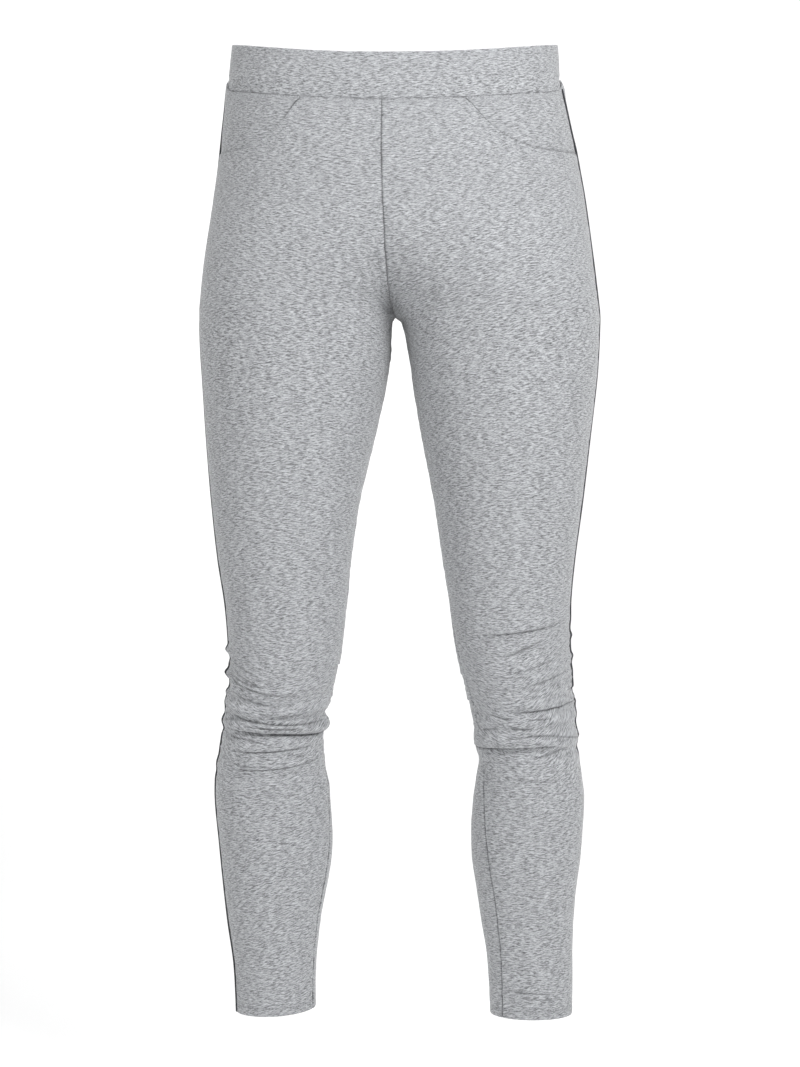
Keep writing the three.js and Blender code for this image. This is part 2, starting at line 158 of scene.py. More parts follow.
def column(table, name, level):
    """A table's column as a smooth function of height: a cubic between rows, with the neighbours'
    slopes."""
    rows = np.array(sorted(table["rows"]), float)
    heights = rows[:, 0]
    values = rows[:, table["columns"].index(name)]
    slopes = np.empty_like(values)
    slopes[1:-1] = (values[2:] - values[:-2]) / (heights[2:] - heights[:-2])
    slopes[0] = (values[1] - values[0]) / (heights[1] - heights[0])
    slopes[-1] = (values[-1] - values[-2]) / (heights[-1] - heights[-2])
    level = np.asarray(level, float)
    k = np.clip(np.searchsorted(heights, level, side="right") - 1, 0, len(heights) - 2)
    span = heights[k + 1] - heights[k]
    t = np.clip((level - heights[k]) / span, 0, 1)
    rise = t * t * (3 - 2 * t)
    leaving = t * (1 - t) ** 2 * span * slopes[k]
    arriving = t * t * (1 - t) * span * slopes[k + 1]
    return values[k] + (values[k + 1] - values[k]) * rise + leaving - arriving


for checked in (WAIST_SEAM, CROTCH, -600, HEM):
    left_width = column(LEGS[LEFT], "outer", checked) - column(LEGS[LEFT], "inner", checked)
    print("At", checked, "mm the left leg is", round(float(left_width), 1), "mm wide")

# %% [markdown]
# ## Folds and creases
#
# Leggings are cut longer than the leg, so the spare length gathers round the knee and rests on the calf.
# Each roll sags in the middle, runs out towards its ends, and ends below in a tight crease where the
# cloth tucks under itself. Rolls are soft ridges and troughs. Creases are a sharp step with a lip above
# it. Both are listed one row each, as turns round the leg and heights on it.

# %% Rolls and creases
# Columns: level, middle, reach, sag, lean, width, depth
FOLDS = {
    LEFT: [
        (-545, 0.3, 0.2, 4, 12, 9, 1.6), (-556, 0.28, 0.22, 3, 14, 5, -1.5),
        (-592, 0.3, 0.25, 6, 14, 12, 1.8), (-628, 0.28, 0.26, 6, 12, 5, -2.2),
        (-637, 0.3, 0.3, 6, 6, 6, 1.6), (-645, 0.22, 0.2, 4, 0, 4.5, -1.8),
        (-656, 0.25, 0.34, 4, 2, 6, 2.6), (-665.5, 0.26, 0.3, 3, -2, 4.5, -2.6),
        (-585, 0.75, 0.24, -4, 0, 8, 2), (-600, 0.75, 0.26, -5, 2, 5, -2.2),
        (-615, 0.75, 0.24, -4, 0, 8, 2.4), (-632, 0.76, 0.26, -4, -3, 5.5, -2.4),
        (-648, 0.74, 0.24, -3, 0, 9, 1.8),
    ],
    RIGHT: [
        (-578, 0.26, 0.22, 8, 4, 12, 1.5), (-606, 0.27, 0.26, 12, 3, 9, 1.8),
        (-618, 0.27, 0.24, 12, 2, 5, -1.6), (-627, 0.25, 0.3, 11, 4, 5, 2.2),
        (-635, 0.24, 0.32, 11, 3, 4, -2.6), (-642, 0.22, 0.36, 8, 2, 5, 2.8),
        (-649, 0.22, 0.34, 6, -1, 4, -2.8), (-675, 0.27, 0.24, 8, -5, 5, -1.6),
        (-683, 0.27, 0.24, 8, -5, 5, 1.3), (-690, 0.27, 0.26, 8, -6, 4.5, -1.7),
        (-580, 0.75, 0.24, -4, 2, 8, 2), (-594, 0.75, 0.26, -5, 0, 5, -2.2),
        (-609, 0.75, 0.25, -4, 0, 8, 2.4), (-627, 0.74, 0.26, -3, 3, 5.5, -2.4),
        (-644, 0.76, 0.24, -3, 0, 9, 1.8),
    ],
}


def fold_line(fold, turn):
    """Where a fold runs: how far along it a place lies (-1 to 1), and the height of its line there."""
    level, middle, reach, sag, lean = fold[:5]
    along = ((turn - middle + 1.5) % 1 - 0.5) / reach
    return along, level + sag * along**2 + lean * along / 2


def rolls(folds, turn, z):
    """Soft rolls: a bell curve across each fold's line, fading to nothing at both of its ends."""
    out = np.zeros(np.broadcast(turn, z).shape)
    for fold in folds:
        width, depth = fold[5:]
        along, line = fold_line(fold, turn)
        fade = np.clip(1 - along**2, 0, None) ** 0.75
        out += depth * np.exp(-(((z - line) / width) ** 2)) * fade
    return out


print("Folds:", {name: len(FOLDS[side]) for side, name in ((LEFT, "left"), (RIGHT, "right"))})

# %% [markdown]
# ## The form
#
# Seen from above, each leg is an oval. The two ovals are cut where they meet on the middle of the body,
# and from the crotch up they grow into one another until the hips are one oval. One number, turn, says
# where a point is round the leg: 0 is the inner side or the centre front, a quarter is the front of a
# leg, a half is the outer side, and 1 is the inner side again or the centre back.

# %% The surface
def smoothstep(value, low, high):
    """Rises from 0 to 1 between low and high, level at both ends."""
    t = np.clip((value - low) / (high - low), 0, 1)
    return t * t * (3 - 2 * t)


def hip_share(turn, z):
    """0 where each leg is its own tube, 1 where the hips are one oval."""
    rise = FRONT_RISE + (BACK_RISE - FRONT_RISE) * smoothstep(turn, 0.3, 0.7)
    height = np.clip((z - CROTCH) / rise, 0, 1)
    return 1 - (1 - height**SEAT_CURVE) ** SEAT_CURVE


def surface(side, turn, z):
    """The cloth's outer face: an oval of half width and half depth, made fuller by its third
    harmonic, with the round top of the gap between the legs pushed in, and the rolls pushed out
    along the oval's radius."""
    turn, z = np.broadcast_arrays(np.asarray(turn, float), np.asarray(z, float))
    outer = column(LEGS[side], "outer", z)
    middle = side * column(CENTRE_SEAM, "x", z)
    inner = np.where(z < CROTCH, column(LEGS[side], "inner", z), middle)
    leg_centre = (outer + inner) / 2
    centre = leg_centre + (middle - leg_centre) * hip_share(turn, z)
    half_width = outer - centre
    cut = np.where(z < CROTCH, 0, np.arccos(np.clip((centre - middle) / half_width, -1, 1)))
    angle = np.where(turn < 0.5, cut + (np.pi - cut) * turn * 2, np.pi + (np.pi - cut) * (turn * 2 - 1))
    front, back = column(BODY, "front", z), column(BODY, "back", z)
    fullness = column(BODY, "fullness", z)
    bulge = (np.sin(angle) + fullness * np.sin(3 * angle)) / (1 - fullness)
    below = np.clip(CROTCH - z, 0, ARCH_HEIGHT)
    arch = ARCH[side] * below**ARCH_POWER * (1 - below / ARCH_HEIGHT) ** 2
    arch = arch * np.clip(np.cos(angle), 0, None) ** ARCH_CORNER
    away = rolls(FOLDS[side], turn, z)
    x = side * (centre - (half_width + away) * np.cos(angle) + arch)
    y = (back - front) / 2 - (back + front) / 2 * bulge - away * np.sin(angle)
    return np.stack([x, y, z], axis=-1)


def height_of(side, turn, level):
    """Rows of knitting dip with the waist at the front, and hang or hitch up a little at the hem. The
    waist seam hangs a little lower still, except at each side, where the gathers draw it up."""
    facing = np.cos(np.pi * turn)
    dip = WAIST_TILT * facing + WAIST_DIP * facing**2
    dip_share = np.clip(1 - (WAIST_SEAM - level) / DIP_FADES_OVER, 0, 1)
    inner_share = (1 + np.cos(2 * np.pi * turn)) / 2
    hitch_share = np.clip(1 - (level - HEM) / HITCH_FADES_OVER, 0, 1)
    hem_share = HEM_HITCH[side] * inner_share**2 - HEM_DROP[side]
    near_seam = np.exp(-(((level - WAIST_SEAM) / GATHER_HEIGHT) ** 2))
    gather = GATHER * np.exp(-(((turn - 0.5) / GATHER_WIDTH) ** 2)) - SEAM_DROP
    return level - dip * dip_share + hem_share * hitch_share + gather * near_seam


def place(side, turn, level):
    """A point of the garment from its turn and its row of knitting."""
    turn, level = np.broadcast_arrays(np.asarray(turn, float), np.asarray(level, float))
    return surface(side, turn, height_of(side, turn, level))


knee = place(LEFT, np.linspace(0, 1, 200), -600)
girth = np.linalg.norm(np.diff(knee, axis=0), axis=1).sum()
print("Girth just above the left knee:", round(girth), "mm")


# %% [markdown]
# ## Crisp creases
#
# The solids carry rolls much like those above. Real cloth also has narrow creases, each with a lip that
# overhangs a tuck. They could be sculpted or simulated, but then they would fall somewhere else each
# time. Here each crease is one row of a table, read off the garment: where it starts and ends across the
# leg (-1 is the inner side, 1 the outer side, beyond that it wraps round to the other face), its two
# heights, how far it sags between them, and how deep, how sharp and how wide it is.

# %% Creases
FRONT, BACK = 0, 1
# Columns: face, from, to, from level, to level, sag, depth, sharp, wide
CREASES = {
    LEFT: [
        (FRONT, -0.5, 0.78, -553, -541, 2.5, 1.1, 1.3, 6),
        (FRONT, -0.2, 0.5, -574, -557, 0.5, 1.0, 1.3, 5),
        (FRONT, -0.1, 0.7, -590, -574, 0.5, 0.55, 1.4, 5),
        (FRONT, 0.05, 0.9, -603, -585, 0.5, 0.6, 1.4, 5),
        (FRONT, -0.3, 1.0, -628, -614, 2.0, 1.3, 1.2, 5),
        (FRONT, -0.68, -0.2, -629, -634, 0.5, 1.0, 1.2, 4.5),
        (FRONT, 0.02, 0.5, -633, -632, 0.6, 0.9, 1.2, 4),
        (FRONT, -0.34, 0.12, -641, -643, 0.8, 1.0, 1.2, 4),
        (FRONT, -0.9, -0.58, -645, -641.5, 0.3, 0.3, 1.2, 4),
        (FRONT, -0.38, 0.62, -653, -649.5, -2.2, 1.0, 1.2, 5),
        (FRONT, 0.3, 1.03, -649, -655.5, -0.5, 0.8, 1.2, 5),
        (FRONT, -1.15, 0.6, -661.5, -659.5, 1.8, 1.7, 1.0, 6),
        (FRONT, 0.0, 0.75, -671, -660, 1.2, 1.0, 1.2, 4.5),
        (FRONT, -0.5, 0.5, -688, -692, 3, 0.3, 2, 8),
        (FRONT, -0.68, 0.4, -896, -899, 0.5, 0.55, 1.3, 5),
        (FRONT, -0.3, 0.7, -903, -905, 0.5, 0.4, 1.5, 5),
        (BACK, -0.9, 0.85, -578, -574, -6, 1.0, 1.5, 7),
        (BACK, -1.05, 0.6, -596, -592, -5, 1.5, 1.2, 6),
        (BACK, -0.3, 1.15, -612, -606, -3, 0.9, 1.3, 5),
        (BACK, -1.1, 0.2, -619, -624, -2, 1.1, 1.2, 5),
        (BACK, -0.6, 0.95, -634, -630, -4, 1.6, 1.1, 6),
        (BACK, 0.1, 0.8, -645, -641, 0, 0.6, 1.3, 4.5),
        (BACK, -0.8, 0.3, -655, -658, 2, 0.7, 1.4, 6),
    ],
    RIGHT: [
        (FRONT, -0.4, 0.97, -612, -589, 6, 0.8, 1.3, 5),
        (FRONT, 0.15, 0.95, -603, -588, 3, 0.6, 1.4, 5),
        (FRONT, -0.3, 0.9, -620, -605, 5, 0.6, 1.3, 4),
        (FRONT, -0.66, 0.08, -625.5, -631, 1.5, 0.5, 1.3, 4),
        (FRONT, -0.95, 0.9, -634, -627, 7.5, 1.5, 1.1, 4.5),
        (FRONT, -0.6, 0.5, -642, -640, 1.5, 1.1, 1.1, 3.5),
        (FRONT, -1.08, 0.88, -645.5, -643.5, 4, 1.9, 1.1, 5.5),
        (FRONT, 0.2, 0.9, -653, -648, 1.5, 0.6, 1.2, 4),
        (FRONT, 0.12, 0.5, -656, -653, 0.4, 0.5, 1.2, 4),
        (FRONT, -0.8, 0.75, -658.5, -664.5, 3, 1.2, 1.2, 5.5),
        (FRONT, -0.72, -0.5, -668, -669, 0.3, 0.4, 1.2, 4),
        (FRONT, -0.1, 0.75, -679, -676, 1.5, 0.5, 1.2, 4),
        (FRONT, -0.86, 0.75, -672, -681, 5, 1.1, 1.3, 6),
        (FRONT, 0.3, 0.85, -603, -588, 0.5, 0.35, 1.5, 5),
        (FRONT, 0.45, 0.95, -592, -574, 0.3, 0.3, 1.5, 5),
        (FRONT, -0.55, 0.15, -704, -706, 2.5, 0.3, 2, 8),
        (BACK, -0.8, 0.9, -570, -566, -5, 0.9, 1.5, 7),
        (BACK, -1.1, 0.5, -586, -590, -5, 1.4, 1.2, 6),
        (BACK, -0.2, 1.1, -601, -597, -3, 1.0, 1.3, 5),
        (BACK, -1.05, 0.9, -618, -622, -6, 1.6, 1.1, 6),
        (BACK, -0.9, 0.1, -633, -630, -1, 0.8, 1.2, 5),
        (BACK, -0.1, 1.0, -638, -643, -2, 1.2, 1.2, 5.5),
        (BACK, -0.7, 0.4, -656, -652, 2, 0.6, 1.4, 6),
    ],
}


def turn_at(face, across):
    """A place across a leg as a turn round it: an oval seen from the front, unrolled by its arc
    cosine."""
    inside = abs(across) <= 1
    beyond = math.copysign(2 - abs(across), across)
    turn = math.acos(-across if inside else -beyond) / (2 * math.pi)
    if not inside:
        turn = 1 - turn
    return turn if face == FRONT else 1 - turn


SLOT_BELOW, SLOT_WIDE, SLOT_DEEP = 0.9, 0.75, 0.9


def creases(side, turn, z):
    """Creases: a step across each line, soft in the middle (tanh) and dying away from it (exp), so
    that the cloth swells above the line and tucks in below it, with a narrow slot under the lip.
    The whole fades out towards both ends. Gives the depth, and the slot's painted shade."""
    out = np.zeros(np.broadcast(turn, z).shape)
    shade = np.zeros_like(out)
    for face, start, end, start_level, end_level, sag, depth, sharp, wide in CREASES[side]:
        first, last = turn_at(face, start), turn_at(face, end)
        span = (last - first + 0.5) % 1 - 0.5
        along = ((turn - first - span / 2 + 0.5) % 1 - 0.5) / (span / 2)
        inside = np.clip(1 - along**2, 0, None)
        line = (start_level + end_level) / 2 + (end_level - start_level) / 2 * along - sag * inside
        above = z - line
        slot = inside**0.6 * np.exp(-(((above + SLOT_BELOW) / SLOT_WIDE) ** 2))
        out += depth * inside**0.7 * np.tanh(above / sharp) * np.exp(-np.abs(above) / wide)
        out -= depth * SLOT_DEEP * slot
        # Painted shade: the slot's colour is darkened, more under deeper creases
        shade = np.maximum(shade, min(0.3 + 0.22 * depth, 0.7) * slot)
    return out, shade


# Short rolls at the sides of the knee, in the columns of FOLDS
SMALL_ROLLS = {
    LEFT: [
        (-553, 0.5, 0.05, 0, 8, 3, 1.6), (-573, 0.5, 0.05, 0, 8, 3, 1.6),
        (-582, 0.5, 0.06, 0, 6, 4, -0.8), (-609, 0.49, 0.06, 0, 2, 4, -1.3),
        (-619, 0.49, 0.06, 0, 4, 4, 2.0), (-637, 0.49, 0.07, 0, 0, 6, -1.0),
        (-664, 0.0, 0.12, 0, 0, 5, 1.8), (-679, 0.0, 0.12, 0, 0, 8, -1.8),
    ],
    RIGHT: [
        (-567.5, 0.5, 0.07, 0, 10, 3.2, 2.6), (-576, 0.5, 0.08, 0, 10, 4, -1.4),
        (-590, 0.5, 0.08, 0, 9, 3.4, 3.2), (-600, 0.5, 0.08, 0, 8, 5, -1.5),
        (-608.5, 0.5, 0.06, 0, 7, 3, 1.8), (-626, 0.5, 0.06, 0, 5, 3, 1.0),
        (-643, 0.0, 0.16, 0, -2, 5.5, 2.8), (-630, 0.0, 0.1, 0, 0, 3.5, -0.6),
        (-617, 0.0, 0.08, 0, 0, 5, 0.5), (-700, 0.0, 0.1, 0, 0, 7, 1.0),
    ],
}


def small_rolls(side, turn, z):
    """The same bell across a line as the rolls above."""
    return rolls(SMALL_ROLLS[side], turn, z)


print("Creases:", {name: len(CREASES[side]) for side, name in ((LEFT, "left"), (RIGHT, "right"))})

# %% [markdown]
# ## Small unevenness
#
# No two centimetres of worn jersey lie alike. Random numbers on a lattice, joined smoothly, give bumps
# of any length and width. Drawn out and tilted they are the fine drag lines above the knee. Wound round
# a point they are the whiskers that spread from the crotch. Along a seam they are the puckers that the
# sewing pulls in.

# %% Lattice noise
def lattice_noise(a, b, seed):
    """Random values from -1 to 1 at whole numbers of a and b, joined by smooth steps between them."""
    size = 512
    values = np.random.default_rng(seed).uniform(-1, 1, (size, size))
    ia, ib = np.floor(a).astype(int), np.floor(b).astype(int)
    ta, tb = a - ia, b - ib
    ta, tb = ta * ta * (3 - 2 * ta), tb * tb * (3 - 2 * tb)
    low = values[ia % size, ib % size] * (1 - ta) + values[(ia + 1) % size, ib % size] * ta
    high = values[ia % size, (ib + 1) % size] * (1 - ta) + values[(ia + 1) % size, (ib + 1) % size] * ta
    return low * (1 - tb) + high * tb


def tilted(along, up, degrees, long, short, seed):
    """Lattice noise drawn out along a direction that many degrees above the rows of knitting."""
    angle = math.radians(degrees)
    a = along * math.cos(angle) + up * math.sin(angle)
    b = up * math.cos(angle) - along * math.sin(angle)
    return lattice_noise(a / long + 100, b / short + 100, seed)


sample = lattice_noise(np.linspace(0, 50, 4000), np.linspace(0, 31, 4000), 1)
print("Noise runs from", round(float(sample.min()), 2), "to", round(float(sample.max()), 2))

# %% [markdown]
# ## Cloth with two faces
#
# Cloth is a thin closed shell. The outer face is a fine grid, and carries every fold. The inner face
# needs far fewer points, so it takes every third or fourth one, placed behind the deepest tuck near it.
# A strip of faces joins the two round the edges. Each point also gets its place in the cloth (along the
# row and up the wales, in metres) as a UV map, so that the knitted flecks follow the cloth and not the
# room.

# %% Thin shells
SKIP_ROWS, SKIP_COLUMNS = 4, 3


def unit(vectors):
    """Vectors divided by their own lengths."""
    return vectors / np.linalg.norm(vectors, axis=-1, keepdims=True)


def outward(side, turn, z):
    """The outward normal: the cross product of a short step round the body and a short step up it."""
    turn, z = np.broadcast_arrays(np.asarray(turn, float), np.asarray(z, float))
    step, rise = 0.002, 0.5
    first = np.where(z > CROTCH, np.maximum(turn - step, 0), turn - step)
    last = np.where(z > CROTCH, np.minimum(turn + step, 1), turn + step)
    around = surface(side, last, z) - surface(side, first, z)
    up = surface(side, turn, z + rise) - surface(side, turn, z - rise)
    return unit(side * np.cross(around, up))


def cloth_at(side, turn, level):
    """Height, outer face and outward normal of the cloth at a turn and a row of knitting."""
    z = height_of(side, turn, level)
    return z, surface(side, turn, z), outward(side, turn, z)


def walked(points, axis=1):
    """Distance walked along the rows (axis 1) or down the columns (axis 0) of a grid of points."""
    steps = np.linalg.norm(np.diff(points, axis=axis), axis=-1)
    start = np.zeros_like(np.take(steps, [0], axis=axis))
    return np.concatenate([start, np.cumsum(steps, axis=axis)], axis=axis)


def deepest_near(out, ring):
    """The lowest value of a grid among each point's neighbours, as far as the next point of the inner
    face."""
    padded = np.pad(out, ((SKIP_ROWS, SKIP_ROWS), (0, 0)), mode="edge")
    low = np.min([padded[k : k + len(out)] for k in range(2 * SKIP_ROWS + 1)], axis=0)
    padded = np.pad(low, ((0, 0), (SKIP_COLUMNS, SKIP_COLUMNS)), mode="wrap" if ring else "edge")
    return np.min([padded[:, k : k + out.shape[1]] for k in range(2 * SKIP_COLUMNS + 1)], axis=0)


def cells(ids, ring):
    """The four corners of every cell of a grid of point numbers."""
    right = np.roll(ids, -1, axis=1) if ring else ids[:, 1:]
    left = ids if ring else ids[:, :-1]
    return np.stack([left[:-1], left[1:], right[1:], right[:-1]], axis=-1).reshape(-1, 4)


def rim(fine, coarse, skip):
    """Faces that join an edge of the fine grid to the same edge of the coarse one."""
    starts = np.arange(len(coarse) - 1) * skip
    outer = fine[starts[:, None] + np.arange(skip + 1)]
    return np.concatenate([outer, coarse[1:, None], coarse[:-1, None]], axis=1)


def mesh_object(name, points, faces, uv=None, wrap=0):
    """Puts arrays of points (millimetres), faces and cloth coordinates (metres) into a smooth mesh.
    Faces are turned over if they enclose a negative volume. A face across the joint of a ring has
    its small coordinates raised by wrap, the ring's length."""
    volume = 0
    for group in faces:
        for k in range(1, group.shape[1] - 1):
            a, b, c = points[group[:, 0]], points[group[:, k]], points[group[:, k + 1]]
            volume += np.einsum("ij,ij->", a, np.cross(b, c)) / 6
    if volume < 0:
        faces = [group[:, ::-1] for group in faces]
    sizes = np.concatenate([np.full(len(group), group.shape[1]) for group in faces])
    corners = np.concatenate([group.ravel() for group in faces])
    mesh = bpy.data.meshes.new(name)
    mesh.vertices.add(len(points))
    mesh.vertices.foreach_set("co", (points * MM).astype(np.float32).ravel())
    mesh.loops.add(len(corners))
    mesh.loops.foreach_set("vertex_index", corners.astype(np.int32))
    mesh.polygons.add(len(sizes))
    mesh.polygons.foreach_set("loop_start", (np.cumsum(sizes) - sizes).astype(np.int32))
    mesh.polygons.foreach_set("use_smooth", np.ones(len(sizes), bool))
    if uv is not None:
        placed = []
        for group in faces:
            u = uv[group]
            far = np.ptp(u[..., 0], axis=1) > wrap / 2 if wrap else np.zeros(len(group), bool)
            u[far, :, 0] += np.where(u[far, :, 0] < wrap / 2, wrap, 0)
            placed.append(u.reshape(-1, 2))
        layer = mesh.uv_layers.new(name="cloth")
        layer.data.foreach_set("uv", np.concatenate(placed).astype(np.float32).ravel())
    mesh.update(calc_edges=True)
    mesh.validate()
    made = bpy.data.objects.new(name, mesh)
    bpy.context.scene.collection.objects.link(made)
    triangles = int((sizes - 2).sum())
    print(f"{name}: {triangles} triangles, {abs(volume) / 1000:.1f} cm3")
    return made


def shell(name, face, normal, out, thick, uv, shade, ring=False):
    """A closed thin shell. The outer face stands out along the normals. The inner face lies a
    thickness behind the deepest point near it. Rims join the two at the edges that a ring doesn't
    have. The painted shade of the grooves and creases, which darkens the colour, is kept on the points."""
    outer = face + normal * out[..., None]
    back = face + normal * (deepest_near(out, ring) - thick)[..., None]
    inner = back[::SKIP_ROWS, ::SKIP_COLUMNS]
    fine = np.arange(outer[..., 0].size).reshape(outer.shape[:2])
    coarse = fine.size + np.arange(inner[..., 0].size).reshape(inner.shape[:2])
    top = [fine[0], coarse[0]]
    bottom = [fine[-1], coarse[-1]]
    if ring:
        top = [np.append(ids, ids[0]) for ids in top]
        bottom = [np.append(ids, ids[0]) for ids in bottom]
    faces = [
        cells(fine, ring),
        cells(coarse, ring)[:, ::-1],
        rim(*top, SKIP_COLUMNS),
        rim(*bottom, SKIP_COLUMNS)[:, ::-1],
    ]
    if not ring:
        faces.append(rim(fine[:, 0], coarse[:, 0], SKIP_ROWS)[:, ::-1])
        faces.append(rim(fine[:, -1], coarse[:, -1], SKIP_ROWS))
    points = np.concatenate([outer.reshape(-1, 3), inner.reshape(-1, 3)])
    cloth = np.concatenate([uv.reshape(-1, 2), uv[::SKIP_ROWS, ::SKIP_COLUMNS].reshape(-1, 2)])
    wrap = 0
    if ring:
        wrap = uv[0, -1, 0] + (uv[0, -1, 0] - uv[0, -2, 0])
    made = mesh_object(name, points, faces, cloth, wrap)
    # Painted shade: darkens the outer face's colour in grooves and creases; the inner face gets none
    kept = made.data.attributes.new("painted_shade", "FLOAT", "POINT")
    values = np.concatenate([shade.ravel(), np.zeros(coarse.size)])
    kept.data.foreach_set("value", values.astype(np.float32))
    return made, outer


# %% [markdown]
# ## The four leg panels
#
# Each leg is two panels. The front one runs from the centre seam and the inseam to the side seam, and
# its top corner is scooped out for the pocket. The back one is wider, and curves over the seat. A seam
# pulls the cloth in: near every edge the panel rolls under, and beside it lies a row of small puckers.

# %% Rows and columns of the panels
CLOTH = 0.9            # jersey, in millimetres
TURNED_HEM = 2.0
SEAM_ROLL, SEAM_ROLL_WIDTH = 1.2, 2.8
POCKET_END = -112.0
SCOOP_FROM_CENTRE, SCOOP_DEPTH, SCOOP_SWEEP = 75.0, 67.0, 5.5
SCOOP_FLOOR = WAIST_SEAM - SCOOP_DEPTH
POCKET_ROWS = 40
LEVEL_STRETCHES = ((-330, 156), (-530, 76), (-700, 243), (-895, 78), (HEM, 34))
CENTRE_COLUMNS, SCOOP_COLUMNS, BACK_COLUMNS = 33, 87, 120


def closer_at_start(count, share=0.85):
    """Steps from 0 to 1 that start short: even steps less a half wave of sine."""
    t = np.linspace(0, 1, count + 1)
    return t - share * np.sin(np.pi * t) / np.pi


def closer_at_ends(count, share=0.75):
    """Steps from 0 to 1 that are short at both ends: even steps less a full wave of sine."""
    t = np.linspace(0, 1, count + 1)
    return t - share * np.sin(2 * np.pi * t) / (2 * np.pi)


def level_rows():
    """Heights of the rows below the pocket, closest together over the folds of the knee and at the
    hem."""
    rows, start = [], POCKET_END
    for end, count in LEVEL_STRETCHES:
        rows.append(np.linspace(start, end, count, endpoint=False))
        start = end
    return np.append(np.concatenate(rows), HEM)


def scoop_start(side):
    """The turn where the pocket's edge leaves the waist, from its distance to the centre seam."""
    reach = column(LEGS[side], "outer", WAIST_SEAM) - side * column(CENTRE_SEAM, "x", WAIST_SEAM)
    return math.asin(SCOOP_FROM_CENTRE / reach) / math.pi


def scoop_steps(t):
    """Shares along the pocket's edge from even steps: closer together at both of its ends."""
    return (t + 0.7 * np.sin(np.pi * t) / np.pi) ** 1.5


def scoop_level(share):
    """The pocket's edge: it drops steeply from the waist and ends level at the side seam."""
    return WAIST_SEAM - SCOOP_DEPTH * (1 - (1 - share) ** SCOOP_SWEEP)


def inseam(side, level):
    return np.where(level < CROTCH, column(LEGS[side], "inseam", level), 0)


def front_grid(side):
    """Turns and levels of a front panel. Its top rows start on the waist seam or the pocket's edge."""
    start = scoop_start(side) / float(column(LEGS[side], "side", SCOOP_FLOOR))
    scoop = scoop_steps(np.linspace(0, 1, SCOOP_COLUMNS + 1))
    shares = np.concatenate([start * closer_at_start(CENTRE_COLUMNS)[:-1], start + (1 - start) * scoop])
    tops = np.concatenate([np.full(CENTRE_COLUMNS, WAIST_SEAM), scoop_level(scoop)])
    down = closer_at_start(POCKET_ROWS)[:-1, None]
    pocket = tops + (POCKET_END - tops) * down
    below = np.repeat(level_rows()[:, None], len(shares), axis=1)
    level = np.concatenate([pocket, below])
    seam = column(LEGS[side], "side", np.minimum(level, SCOOP_FLOOR))
    first = inseam(side, level)
    return first + (seam - first) * shares, level


def back_grid(side):
    """Turns and levels of a back panel, from the side seam to the inseam and the centre back."""
    shares = closer_at_ends(BACK_COLUMNS)
    pocket = WAIST_SEAM + (POCKET_END - WAIST_SEAM) * closer_at_start(POCKET_ROWS)[:-1]
    level = np.repeat(np.concatenate([pocket, level_rows()])[:, None], len(shares), axis=1)
    first = column(LEGS[side], "side", level)
    return first + (1 + inseam(side, level) - first) * shares, level


turns, levels = front_grid(LEFT)
print("A front panel has", turns.shape[0], "rows and", turns.shape[1], "columns")

# %% Relief of a panel
STITCH_BELOW_SEAM = (1.7, 5.6)   # two rows of stitching under the waistband
STITCH_ABOVE_HEM = (7.0, 8.6)    # twin needles
# Painted shade in the grooves: its row above the hem, and how dark the pocket's edge and side seams are
# made
HEM_SHADE_AT = 7.8
POCKET_SHADE = {LEFT: 0.45, RIGHT: 0.14}   # low down on the pocket's edge
POCKET_TOP_SHADE, SIDE_SEAM_SHADE = 0.85, 0.6
GATHERED_TURN, GATHERED_WIDTH = 0.48, 0.06
PIECES_APART = 1000.0            # in the cloth's coordinates, so that no two pieces share their flecks
STITCH_BESIDE_POCKET = 2.4
SPIRAL = 0.08                    # jersey is knitted in a spiral, so its rows climb to one side


def bell(value, middle, width):
    return np.exp(-(((value - middle) / width) ** 2))


def seam_roll(distance, depth=SEAM_ROLL, width=SEAM_ROLL_WIDTH):
    """Cloth rolls under towards a seam: a shallow parabola, and a steep notch at the edge itself."""
    return -depth * (0.5 * np.clip(1 - distance / width, 0, None) ** 2 + 0.8 * np.exp(-distance / 0.6))


def painted_shade(distance, along, strength, seed, broken=0.0, width=1.0):
    """Painted shade in a seam's groove: a bell across it, broken up along it by noise."""
    gaps = 1 - broken * smoothstep(lattice_noise(along / 3.5 + 90, distance / 9 + 10, seed), -0.5, 0.5)
    return strength * gaps * np.exp(-((distance / width) ** 2))


def puckers(distance, along, seed, depth=0.3, pitch=4.5, reach=7, slant=0.7):
    """Short slanting ripples beside a line of sewing, strongest at the seam."""
    return depth * lattice_noise(distance / 9 + 60, (along - slant * distance) / pitch + 200, seed) * (
        np.exp(-distance / reach)
    )


